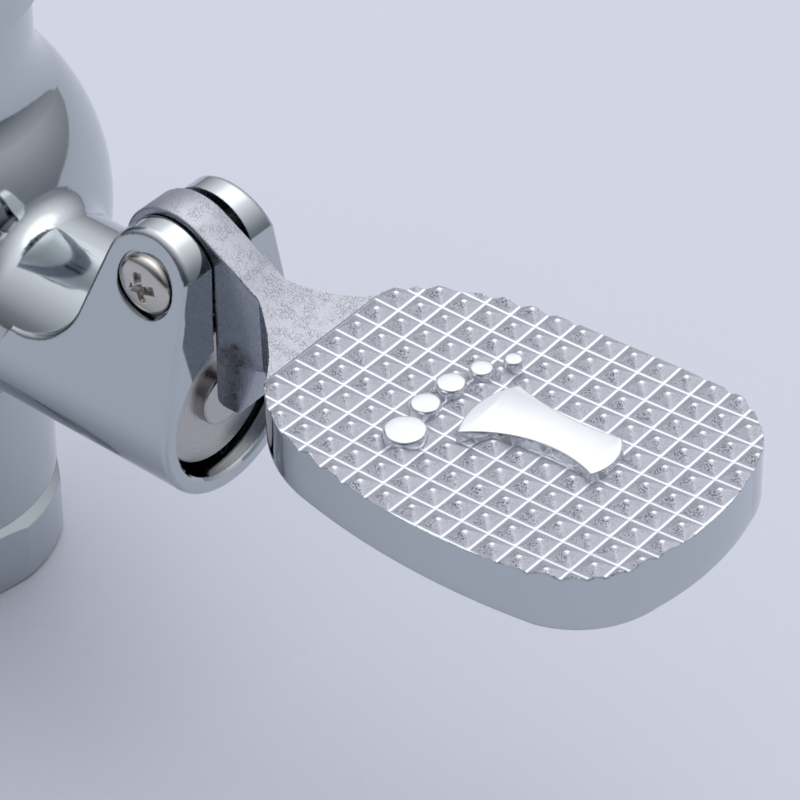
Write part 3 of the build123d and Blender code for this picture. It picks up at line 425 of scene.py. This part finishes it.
def pad_outline():
    """The pad seen from above, from the far side of the neck round to the near side."""
    neck_back = (NECK_EDGE, LEVER_THICK / 2)
    neck_half = (-9.5, LEVER_THICK / 2)
    rear_half = (0.0, 13.5)
    shoulder = (13.5, PAD_HALF - 2.85)
    corner = (PAD_LENGTH - 12.7, PAD_HALF - 1.1)
    nose = (PAD_LENGTH - 1.35, 11.0)
    half = [neck_back]
    for start, end, sag, count in (
        (neck_half, rear_half, -0.97, 60),
        (rear_half, shoulder, 1.33, 70),
        (shoulder, corner, 1.95, 160),
        (corner, nose, 2.56, 80),
    ):
        half += sagitta_arc(start, end, sag, count)
    front = three_point_arc(nose, (PAD_LENGTH, 0.0), (nose[0], -nose[1]), 100)
    return half + front + [(x, -y) for x, y in reversed(half)]


def along_outline(points, step):
    """Even points round a closed outline, with the outward direction at each."""
    ring = np.array(points + points[:1])
    lengths = np.hypot(*np.diff(ring, axis=0).T)
    reach = np.concatenate([[0.0], np.cumsum(lengths)])
    count = int(reach[-1] / step)
    spots = np.linspace(0.0, reach[-1], count, endpoint=False)
    even = np.stack([np.interp(spots, reach, ring[:, k]) for k in range(2)], axis=1)
    way = np.roll(even, -1, axis=0) - np.roll(even, 1, axis=0)
    way /= np.hypot(*way.T)[:, None]
    return even, np.stack([-way[:, 1], way[:, 0]], axis=1)


def inside(points, outline):
    """Which points lie inside a closed outline."""
    x, y = points[:, 0], points[:, 1]
    result = np.zeros(len(points), bool)
    for (ax, ay), (bx, by) in zip(outline, np.roll(outline, -1, axis=0)):
        if ay == by:
            continue
        crosses = (ay > y) != (by > y)
        result ^= crosses & (x < (bx - ax) * (y - ay) / (by - ay) + ax)
    return result


def in_cell(value, shift):
    """Distance from a cell's middle line, with its sign."""
    return ((value - shift) / PITCH % 1.0 - 0.5) * PITCH


def waffle_share(u, v):
    """How far up a stud's side a point lies: 0 in a groove, 1 on the stud's small flat top."""
    du, dv = np.abs(in_cell(u, 0.0)), np.abs(in_cell(v, RIDGE_SHIFT))
    foot = PITCH / 2 - GROOVE_HALF
    share = (foot - np.maximum(du, dv)) / (foot - STUD_TIP)
    return np.clip(share, 0.0, 1.0) * (u > 0)


def dish_height(u, v):
    """Height of the dish over the pad's plane."""
    level = np.sqrt(DISH_RADIUS**2 - (u - DISH_REACH) ** 2 - v**2)
    return DISH_RADIUS - level - DISH_DEPTH


def top_height(u, v):
    """Height of the casting's top over the pad's plane."""
    pad = dish_height(u, v) + STUD_HEIGHT * waffle_share(u, v) ** STUD_CURVE
    share = np.clip((u + BLEND_START) / BLEND_LENGTH, 0.0, 1.0)
    return neck_height(u) * (1 - share) + pad * share


def hill(share, rise, fall):
    """A value that climbs from 0 to 1, stays there and sinks back to 0."""
    return np.clip(share * rise, 0.0, 1.0) * np.clip((1.0 - share) * fall, 0.0, 1.0)


def top_grain_and_shade(u, v):
    """How many dark pits the skin gets: cast grain, with painted shade strong on the near and rear
    sides of a stud, none in a groove or on a tip.
    """
    du, dv = in_cell(u, 0.0), in_cell(v, RIDGE_SHIFT)
    share = waffle_share(u, v)
    near, far, rear, front = SIDE_GRAINS_AND_SHADE
    across, along = np.where(dv < 0, near, far), np.where(du < 0, rear, front)
    side = np.where(np.abs(dv) > np.abs(du), across, along)
    bell = hill(share, GRAIN_RISE, GRAIN_FALL)
    climb = GRAIN_LOW + (1.0 - GRAIN_LOW) * share
    return np.where(u > 0, side * bell * climb, NECK_GRAIN)


def top_tone(u, v):
    """Which skin shows: 0 in a groove or on a tip, a half on the neck, 1 on a stud's sides."""
    share = waffle_share(u, v)
    return np.where(u > 0, hill(share, TONE_RISE, TONE_RISE), NECK_TONE)


def neck_height(u):
    """Height of the neck's hollow top over the pad's plane, from the arc through three points."""
    line = -PAD_DROP + u * math.sin(PAD_RISE)
    height = np.zeros_like(u)
    for _ in range(4):
        x = PAD_REACH + u * math.cos(PAD_RISE) - height * math.sin(PAD_RISE)
        arc = NECK_ARC[1] - np.sqrt(np.maximum(NECK_ARC[2] ** 2 - (x - NECK_ARC[0]) ** 2, 0.0))
        height = np.minimum((arc - line) / math.cos(PAD_RISE), NECK_LIMIT)
    return height


def pad_place(u, v, w):
    """From the pad's own millimetres to the frame's metres."""
    cos, sin = math.cos(PAD_RISE), math.sin(PAD_RISE)
    x = PIVOT[0] + (PAD_REACH + u * cos - w * sin) * MM
    y = (LEVER_Y + v) * MM
    z = PIVOT[2] + (-PAD_DROP + u * sin + w * cos) * MM
    return np.stack([x, y + 0 * x, z], axis=-1)


def mesh_object(name, places, faces, look, crease=35.0):
    """A smooth shaded object with its sharp edges kept."""
    mesh = bpy.data.meshes.new(name)
    mesh.from_pydata([tuple(place) for place in places], [], faces)
    mesh.polygons.foreach_set("use_smooth", [True] * len(mesh.polygons))
    mesh.set_sharp_from_angle(angle=math.radians(crease))
    mesh.materials.append(look)
    made = bpy.data.objects.new(name, mesh)
    bpy.context.collection.objects.link(made)
    return made


def stud_lines(first, last, shift):
    """Grid lines that follow the studs: groove sides, slopes and tips."""
    one = list(STUD_LINES) + [PITCH - line for line in reversed(STUD_LINES[1:])]
    cells = range(math.floor((first - shift) / PITCH), math.ceil((last - shift) / PITCH))
    return [shift + cell * PITCH + line for cell in cells for line in one]


def rag(count):
    """How far a cast lip is worn back round a closed ring: little chips of uneven size."""
    knots = np.array([hash_noise(k, 3) for k in range(count // CHIP_POINTS)])
    spots = np.arange(count) * len(knots) / count
    closed = np.append(knots, knots[0])
    chips = np.abs(np.interp(spots, np.arange(len(closed)), closed))
    return LIP_WEAR + CHIP_DEPTH * chips**CHIP_RARITY


def ring_faces(rows, count):
    """Quads between rings of count points each, with the rings laid one after another."""
    faces = []
    for row in range(rows - 1):
        low, high = row * count, (row + 1) * count
        for k in range(count):
            n = (k + 1) % count
            faces.append((low + k, low + n, high + n, high + k))
    return faces


def closed_faces(rows, count):
    """The same with a face over the last ring and one under the first."""
    last = (rows - 1) * count
    caps = [tuple(range(last, last + count)), tuple(reversed(range(count)))]
    return ring_faces(rows, count) + caps


def set_values(mesh, values):
    """Give the mesh one number at each point for each name."""
    for name, numbers in values.items():
        mesh.attributes.new(name, "FLOAT", "POINT").data.foreach_set("value", numbers)


def build_pad(top_look, wall_look, neck_shade_look):
    """The pad with its studs: a fine grid over the outline, a wall round it and a flat floor."""
    outline, outward = along_outline(pad_outline(), PAD_STEP)
    starts = outline[:, 0] < NECK_EDGE + 0.05
    burr = np.where(starts, 0.0, rag(len(outline)))
    lip = outline - outward * burr[:, None]
    neck_lines = list(np.arange(NECK_EDGE - STEP, -STEP / 2, STEP)) + [-0.1]
    us = np.array(neck_lines + [u for u in stud_lines(0.0, PAD_LENGTH + PITCH, 0.0) if u >= 0])
    vs = np.array(stud_lines(-PAD_HALF - STEP, PAD_HALF + STEP, RIDGE_SHIFT))
    grid = np.stack(np.meshgrid(us, vs, indexing="ij"), axis=-1).reshape(-1, 2)
    kept = inside(grid, outline)
    wide = len(vs)
    quads = []
    for i in range(len(us) - 1):
        for j in range(wide - 1):
            near, far = i * wide + j, (i + 1) * wide + j
            corners = (near, far, far + 1, near + 1)
            if kept[list(corners)].any():
                quads.append(corners)
    used = sorted({corner for quad in quads for corner in quad})
    number = {corner: place for place, corner in enumerate(used)}
    quads = [tuple(number[corner] for corner in quad) for quad in quads]
    flat = grid[used]
    for place in np.nonzero(~kept[used])[0]:
        flat[place] = lip[np.argmin(np.hypot(*(outline - flat[place]).T))]
    heights = top_height(flat[:, 0], flat[:, 1])
    # Dark pit shares: cast grain, with painted shade on the studs' near and rear sides
    grain = top_grain_and_shade(flat[:, 0], flat[:, 1])

    # Rows of the wall: a skirt under the top, the ragged lip, the flat side, a rounded lower edge
    side_foot = WALL_ROUND - PAD_THICK
    lip_top = top_height(lip[:, 0], lip[:, 1])
    side_top = lip_top - CHIP_SLOPE * burr
    skirt = lip - 0.5 * outward * ~starts[:, None]
    rows = [(skirt, lip_top - 0.3), (lip, lip_top), (outline, side_top)]
    for share in (0.25, 0.5, 0.75, 1.0):
        rows.append((outline, side_top + share * (side_foot - side_top)))
    for angle in EDGE_TURNS:
        shift = WALL_ROUND * (1 - math.cos(angle))
        drop = WALL_ROUND * math.sin(angle)
        rows.append((outline - outward * shift, np.full(len(outline), side_foot - drop)))
    places = [pad_place(flat[:, 0], flat[:, 1], heights)]
    places += [pad_place(spots[:, 0], spots[:, 1], height) for spots, height in rows]
    base, count = len(flat), len(outline)
    # Walls by the neck take the third look: painted shade
    wall_slots = [2 if reach < NECK_SHADE_END else 1 for reach in outline[:, 0]]
    walls = [tuple(base + corner for corner in face) for face in ring_faces(len(rows), count)]
    last = base + len(rows) * count
    faces = quads + walls + [tuple(range(last - count, last))]
    slots = [0] * len(quads) + wall_slots * (len(rows) - 1) + [1]
    made = mesh_object("pedal_pad", np.concatenate(places), faces, top_look, crease=28.0)
    made.data.materials.append(wall_look)
    made.data.materials.append(neck_shade_look)
    made.data.polygons.foreach_set("material_index", slots)
    rest = [0.0] * (last - base)
    tone = top_tone(flat[:, 0], flat[:, 1])
    set_values(made.data, {"grain": list(grain) + rest, "tone": list(tone) + rest})
    return made


# Return spring, in millimetres along the arm
COIL_START = 134.8
COIL_PITCH = 2.6
COIL_TURNS = 5.5
COIL_RADIUS = 7.6
COIL_STEPS = 32
WIRE_RADIUS = 0.7
WIRE_SIDES = 12

# Pivot screw, in millimetres from the pivot: its rim is given by radius and depth under the top
HEAD_SIDES = 192
HEAD_RADIUS = 4.9
HEAD_TOP = -11.68
HEAD_SEAT = -9.4
DOME_DEPTH = 0.9
DOME_CURVE = 2.2
DOME_STEP = 0.09
DOME_ROWS = 45
HEAD_RIM = ((4.4, 0.78), (4.65, 0.95), (4.82, 1.2), (HEAD_RADIUS, 1.5))
SHANK_RADIUS = 2.5
SHANK_END = 9.5

# Its cross recess: reach and half width of an arm, how the arm widens outwards and gets shallower,
# the run of its end and side walls, the part of the head that it may change, and its turn
CROSS_REACH = 2.75
CROSS_HALF = 0.62
CROSS_FLARE = 0.1
CROSS_DEPTH = 1.7
CROSS_SLOPE = 0.42
CROSS_END = 0.5
CROSS_WALL = 0.22
CROSS_LIMIT = 4.2
CROSS_TURN = math.radians(12.0)


def arc_points(centre, radius, first, last, count):
    """Points of a circle's arc between two angles in degrees."""
    turns = [math.radians(first + (last - first) * i / count) for i in range(count + 1)]
    return [(centre[0] + radius * math.cos(a), centre[1] + radius * math.sin(a)) for a in turns]


def rounded(points, radius):
    """A closed outline with its sharp corners cut to short curves."""
    result = []
    for k, corner in enumerate(points):
        here = np.array(corner)
        back = np.array(points[k - 1]) - here
        ahead = np.array(points[(k + 1) % len(points)]) - here
        back_length, ahead_length = np.hypot(*back), np.hypot(*ahead)
        if back @ ahead / (back_length * ahead_length) < -0.93:
            result.append(tuple(corner))
            continue
        cut = min(radius, back_length / 2, ahead_length / 2)
        first, last = here + back * cut / back_length, here + ahead * cut / ahead_length
        for share in (0.0, 0.2, 0.4, 0.6, 0.8, 1.0):
            spot = (1 - share) ** 2 * first + 2 * share * (1 - share) * here + share**2 * last
            result.append(tuple(spot))
    return result


def build_plate(name, points, hole, half, edge, looks):
    """A plate from its side view: rounded long edges, worn where they were trimmed, and a hole."""
    ring, outward = along_outline(rounded(points, ARM_CORNER), ARM_STEP)
    if sum(a[0] * b[1] - b[0] * a[1] for a, b in zip(ring, np.roll(ring, -1, axis=0))) > 0:
        outward = -outward
    burr = rag(len(ring)) * ARM_WEAR
    rows = []
    for side, turns in ((-1, (0.0, 30.0, 60.0, 90.0)), (1, (90.0, 60.0, 30.0, 0.0))):
        for turn in turns:
            angle = math.radians(turn)
            inset = (edge + burr) * (1 - math.sin(angle))
            across = side * (half - edge * (1 - math.cos(angle)))
            rows.append((ring - outward * inset[:, None], across))
    rows.insert(4, (ring, 0.0))
    count = len(ring)
    bore, hole_count = np.array(hole), len(hole)
    made = bmesh.new()
    rings, holes = [], []
    for spots, across in rows:
        rings.append([made.verts.new(plate_place(x, z, across)) for x, z in spots])
    for across in (-half, half):
        holes.append([made.verts.new(plate_place(x, z, across)) for x, z in bore])
    for lower, upper in zip(rings, rings[1:]):
        for k in range(count):
            n = (k + 1) % count
            made.faces.new((lower[k], lower[n], upper[n], upper[k]))
    for k in range(hole_count):
        n = (k + 1) % hole_count
        made.faces.new((holes[0][k], holes[1][k], holes[1][n], holes[0][n]))
    for rim, bore_rim in ((rings[0], holes[0]), (rings[-1], holes[1])):
        loops = []
        for loop in (rim, bore_rim):
            for k, spot in enumerate(loop):
                after = loop[(k + 1) % len(loop)]
                loops.append(made.edges.get((spot, after)) or made.edges.new((spot, after)))
        bmesh.ops.triangle_fill(made, use_beauty=True, use_dissolve=False, edges=loops)
    bmesh.ops.recalc_face_normals(made, faces=made.faces)
    mesh = bpy.data.meshes.new(name)
    made.to_mesh(mesh)
    made.free()
    mesh.polygons.foreach_set("use_smooth", [True] * len(mesh.polygons))
    mesh.set_sharp_from_angle(angle=math.radians(35.0))
    for look in looks:
        mesh.materials.append(look)
    # Faces that face forward low down, and the flat sides, take the second look: painted shade
    slots = []
    for face in mesh.polygons:
        front = face.normal.x > 0.35 and face.normal.z < 0.45
        slots.append(1 if front or abs(face.normal.y) > 0.9 else 0)
    mesh.polygons.foreach_set("material_index", slots)
    spots = len(mesh.vertices)
    set_values(mesh, {"grain": [NECK_GRAIN] * spots, "tone": [NECK_TONE] * spots})
    piece = bpy.data.objects.new(name, mesh)
    bpy.context.collection.objects.link(piece)
    return piece


def plate_place(x, z, across):
    """From the lever's side view in millimetres to the frame's metres."""
    return (PIVOT[0] + x * MM, (LEVER_Y + across) * MM, PIVOT[2] + z * MM)


def neck_arc_height(x):
    """Height of the neck's hollow top at a distance from the pivot."""
    return NECK_ARC[1] - math.sqrt(NECK_ARC[2] ** 2 - (x - NECK_ARC[0]) ** 2)


def build_arm(top_look, side_shade_look):
    """Hub, lobe and neck of the pedal: the thick plate that turns on the pivot screw."""
    floor_z = -PAD_DROP - PAD_THICK + (ARM_END - PAD_REACH) * math.tan(PAD_RISE) + 0.05
    points = arc_points((0.0, 0.0), HUB_RADIUS, 60.5, 325.0, 90)
    points += [(7.7, -5.39)]
    points += arc_points((9.2, -20.9), 1.5, 180.0, 270.0, 8)
    points += [(12.2, -22.4), (15.5, -11.96), (ARM_END, floor_z)]
    points.append((ARM_END, neck_arc_height(ARM_END) - 0.02))
    for step in range(1, 12):
        x = ARM_END - (ARM_END - NECK_START) * step / 12
        lap = ARM_LAP - 0.05 * min(1.0, (x - NECK_START) / 1.5)
        points.append((x, neck_arc_height(x) + lap))
    points.append((NECK_START, NECK_START_HEIGHT + ARM_LAP))
    hole = arc_points((0.0, 0.0), HUB_BORE, 0.0, 350.0, 35)
    half = LEVER_THICK / 2 + ARM_LAP
    return build_plate("pedal_arm", points, hole, half, ARM_EDGE, (top_look, side_shade_look))


def build_toe(place, radius, look):
    """One toe of the relief: a short boss that bulges a little under its flat polished top."""
    along, across = place
    dish = float(dish_height(along, across))
    high = dish + PRINT_HEIGHT
    profile = [(radius + out, dish + up) for out, up in TOE_FOOT]
    profile += [(radius + out, high - down) for out, down in TOE_EDGE]
    profile.append((radius * TOE_TOP_SHARE, high))
    turns = np.arange(TOE_SIDES) * math.tau / TOE_SIDES
    wobble = 1 + 0.012 * np.sin(3 * turns + along) + 0.008 * np.sin(7 * turns + across)
    places = []
    for size, height in profile:
        ring_u = along + size * wobble * np.cos(turns)
        ring_v = across + size * wobble * np.sin(turns)
        places.append(pad_place(ring_u, ring_v, np.full(TOE_SIDES, height)))
    faces = closed_faces(len(profile), TOE_SIDES)
    return mesh_object("toe", np.concatenate(places), faces, look)


def build_sole(look):
    """The sole of the relief: flat polished top, rounded edge, uneven sides."""
    points = three_point_arc(*BALL, 40)
    points += three_point_arc(BALL[2], WAIST_FAR, HEEL[0], 60)
    points += three_point_arc(*HEEL, 30)
    points += three_point_arc(HEEL[2], WAIST_NEAR, BALL[0], 60)
    ring, _ = along_outline(points, 0.3)

    # The rings shrink towards a middle line, so that they don't cross at the sole's corners
    start, run = np.array(SOLE_START), np.array(SOLE_RUN)
    share = np.clip((ring - start) @ run / (run @ run), 0.0, 1.0)
    outward = ring - start - share[:, None] * run
    outward /= np.hypot(*outward.T)[:, None]
    top, edge = PRINT_HEIGHT - DISH_DEPTH, SOLE_EDGE
    rows = [(-0.2, -0.7), (-0.18, 0.0), (-0.15, 0.6), (-0.05, top - edge)]
    for angle in EDGE_TURNS:
        rows.append((edge * (1 - math.cos(angle)), top - edge + edge * math.sin(angle)))
    count = len(ring)
    places = []
    for index, (inset, height) in enumerate(rows):
        shake = SOLE_SHAKE if index in (1, 2) else 0.0
        insets = inset + np.array([shake * hash_noise(k // 2, index) for k in range(count)])
        spots = ring - outward * insets[:, None]
        places.append(pad_place(spots[:, 0], spots[:, 1], np.full(count, height)))
    faces = closed_faces(len(rows), count)
    return mesh_object("sole", np.concatenate(places), faces, look, crease=20.0)


def cross_depth(a, b):
    """Depth of the cross recess at a point of the screw's head."""
    result = np.zeros_like(a)
    for along, across in ((a, b), (b, a)):
        out, aside = np.abs(along), np.abs(across)
        arm = np.clip((CROSS_REACH - out) / CROSS_END, 0.0, 1.0)
        wall = np.clip((CROSS_HALF + CROSS_FLARE * out - aside) / CROSS_WALL, 0.0, 1.0)
        result = np.maximum(result, arm * wall * (CROSS_DEPTH - CROSS_SLOPE * out))
    return result


def build_screw(look):
    """The pivot screw: domed head, rounded rim, cross recess and plain shank."""
    turns = np.arange(HEAD_SIDES) * math.tau / HEAD_SIDES
    radii = [DOME_STEP * step for step in range(1, DOME_ROWS + 1)]
    rows = [(r, HEAD_TOP + DOME_DEPTH * (r / HEAD_RADIUS) ** DOME_CURVE) for r in radii]
    rows += [(radius, HEAD_TOP + down) for radius, down in HEAD_RIM]
    rows += [(HEAD_RADIUS, HEAD_SEAT), (SHANK_RADIUS, HEAD_SEAT), (SHANK_RADIUS, SHANK_END)]
    cos, sin = math.cos(CROSS_TURN), math.sin(CROSS_TURN)
    places = []
    for radius, y in rows:
        a, b = radius * np.cos(turns), radius * np.sin(turns)
        inner = radius < CROSS_LIMIT
        depth = cross_depth(a * cos + b * sin, b * cos - a * sin) if inner else 0 * a
        place = [PIVOT[0] + a * MM, (y + depth) * MM, PIVOT[2] + b * MM]
        places.append(np.stack(place, axis=-1))
    last = (len(rows) - 1) * HEAD_SIDES
    faces = [tuple(range(HEAD_SIDES))]
    faces += [face[:1] + face[:0:-1] for face in ring_faces(len(rows), HEAD_SIDES)]
    faces.append(tuple(reversed(range(last, last + HEAD_SIDES))))
    places = np.concatenate(places)
    return mesh_object("pivot_screw_visual", places, faces, look, crease=40.0)


def build_spring(look):
    """The return spring: one unbroken wire."""
    places = []
    lead = COIL_PITCH / math.tau
    rings = int(COIL_TURNS * COIL_STEPS) + 1
    for step in range(rings):
        angle = math.tau * step / COIL_STEPS
        out = Vector((0.0, math.cos(angle), math.sin(angle)))
        along = COIL_START + COIL_PITCH * step / COIL_STEPS
        spot = Vector((along, 0.0, ARM_AXIS[2] / MM)) + out * COIL_RADIUS
        way = Vector((lead, -COIL_RADIUS * out.z, COIL_RADIUS * out.y)).normalized()
        side = way.cross(out)
        for ray in range(WIRE_SIDES):
            turn = math.tau * ray / WIRE_SIDES
            place = spot + (out * math.cos(turn) + side * math.sin(turn)) * WIRE_RADIUS
            places.append(place * MM)
    faces = closed_faces(rings, WIRE_SIDES)
    return mesh_object("return_spring_visual", places, faces, look)


# The pad's neck walls and the arm's front and sides carry painted shade in the slate look
pedal_pieces = [
    build_pad(waffle_chrome, chrome, painted_shade_chrome),
    build_arm(waffle_chrome, painted_shade_chrome),
    build_sole(bright_chrome),
]
for number, (along, across, radius) in enumerate(TOES, 1):
    toe = build_toe((along, across), radius, bright_chrome)
    toe.name = f"toe_{number}"
    pedal_pieces.append(toe)
for piece in pedal_pieces:
    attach(piece, "pedal")
    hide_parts("pedal_lever")

screw = build_screw(screw_steel)
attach(screw, "valve")
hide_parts("pivot_screw")

spring = build_spring(wire_steel)
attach(spring, "valve")
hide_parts("return_spring")
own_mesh(spring)

# Glossy pale floor, in metres
FLOOR_MIDDLE = (0.1, 0.0, -0.0692)
FLOOR_HALF = 1.6
FLOOR_COLOUR = (0.61, 0.63, 0.715)
FLOOR_GLOSS = 0.1
FLOOR_ROUGHNESS = (0.26, 0.34)
FLOOR_GRAIN_SCALE = 40.0

floor_mesh = bpy.data.meshes.new("floor")
floor_x, floor_y, floor_z = FLOOR_MIDDLE
corners = [
    (floor_x + x * FLOOR_HALF, floor_y + y * FLOOR_HALF, floor_z)
    for x, y in ((-1, -1), (1, -1), (1, 1), (-1, 1))
]
floor_mesh.from_pydata(corners, [], [(0, 1, 2, 3)])
floor = bpy.data.objects.new("floor", floor_mesh)
bpy.context.collection.objects.link(floor)
floor_look, floor_tree, floor_shader = material("pale_floor", FLOOR_COLOUR, 0.0, 0.3)
floor_shader.inputs["Specular IOR Level"].default_value = FLOOR_GLOSS
floor_grain = noise(floor_tree, FLOOR_GRAIN_SCALE, 3.0)
floor_rough = ramp(floor_tree, floor_grain.outputs["Fac"], *NOISE_MIDDLE, *FLOOR_ROUGHNESS)
floor_tree.links.new(floor_rough, floor_shader.inputs["Roughness"])
floor_mesh.materials.append(floor_look)


# Room: a wide soft light high behind that fades to a dim horizon, and a faint fill from the front.
# Each tone stands at the cosine of the angle from its light.
LIGHT_WAY = (-0.1, 0.35, 0.931)
FILL_WAY = (-0.485, -0.639, 0.597)
ROOM_LIGHT = 2.5
ROOM_TONES = (
    (-1.0, (0.008, 0.01, 0.014)),
    (0.0, (0.03, 0.034, 0.04)),
    (0.211, (0.1, 0.105, 0.12)),
    (0.4, (0.17, 0.175, 0.19)),
    (0.583, (0.27, 0.275, 0.29)),
    (0.75, (0.39, 0.395, 0.41)),
    (0.857, (0.5, 0.505, 0.52)),
    (0.95, (0.85, 0.85, 0.86)),
    (1.0, (1.0, 1.0, 1.0)),
)
FILL_TONES = (
    (-1.0, (0.0, 0.0, 0.0)),
    (0.55, (0.0, 0.0, 0.0)),
    (0.8, (0.04, 0.04, 0.042)),
    (1.0, (0.13, 0.13, 0.135)),
)


def light_lobe(tree, coords, way, marks):
    """A soft patch of light about a direction of the room, with its tone at each cosine."""
    cosine = tree.nodes.new("ShaderNodeVectorMath")
    cosine.operation = "DOT_PRODUCT"
    cosine.inputs[1].default_value = way
    tree.links.new(coords, cosine.inputs[0])
    share = ramp(tree, cosine.outputs["Value"], -1.0, 1.0, 0.0, 1.0)
    tones = tree.nodes.new("ShaderNodeValToRGB")
    for index, (place, tone) in enumerate(marks):
        inner = 0 < index < len(marks) - 1
        elements = tones.color_ramp.elements
        mark = elements.new((place + 1) / 2) if inner else elements[0 if index == 0 else -1]
        mark.position = (place + 1) / 2
        mark.color = (*tone, 1.0)
    tree.links.new(share, tones.inputs["Fac"])
    return tones.outputs["Color"]


world = bpy.data.worlds.new("room")
bpy.context.scene.world = world
world.use_nodes = True
room = world.node_tree
room_shader = room.nodes["Background"]
room_shader.inputs["Strength"].default_value = ROOM_LIGHT
room_ways = room.nodes.new("ShaderNodeTexCoord").outputs["Generated"]
room_sum = room.nodes.new("ShaderNodeVectorMath")
room_sum.operation = "ADD"
room.links.new(light_lobe(room, room_ways, LIGHT_WAY, ROOM_TONES), room_sum.inputs[0])
room.links.new(light_lobe(room, room_ways, FILL_WAY, FILL_TONES), room_sum.inputs[1])
room.links.new(room_sum.outputs["Vector"], room_shader.inputs["Color"])

# Camera: place and axes found from the relief grid on the pedal
CAMERA_PLACE = (0.417308, -0.298087, 0.331273)
CAMERA_RIGHT = (0.782069, 0.623029, 0.014280)
CAMERA_UP = (-0.409901, 0.497006, 0.764831)
CAMERA_BACK = (0.469414, -0.604004, 0.644073)
FOCAL_PIXELS = 3456.87
IMAGE_PIXELS = 800
SENSOR = 36.0
CLIP_START = 0.01

camera_data = bpy.data.cameras.new("camera")
camera_data.sensor_width = SENSOR
camera_data.lens = FOCAL_PIXELS / IMAGE_PIXELS * SENSOR
camera_data.clip_start = CLIP_START
camera = bpy.data.objects.new("camera", camera_data)
turn = Matrix((CAMERA_RIGHT, CAMERA_UP, CAMERA_BACK)).transposed()
camera.matrix_world = Matrix.Translation(CAMERA_PLACE) @ turn.to_4x4()
bpy.context.collection.objects.link(camera)
scene = bpy.context.scene
scene.camera = camera
scene.view_settings.view_transform = "Standard"
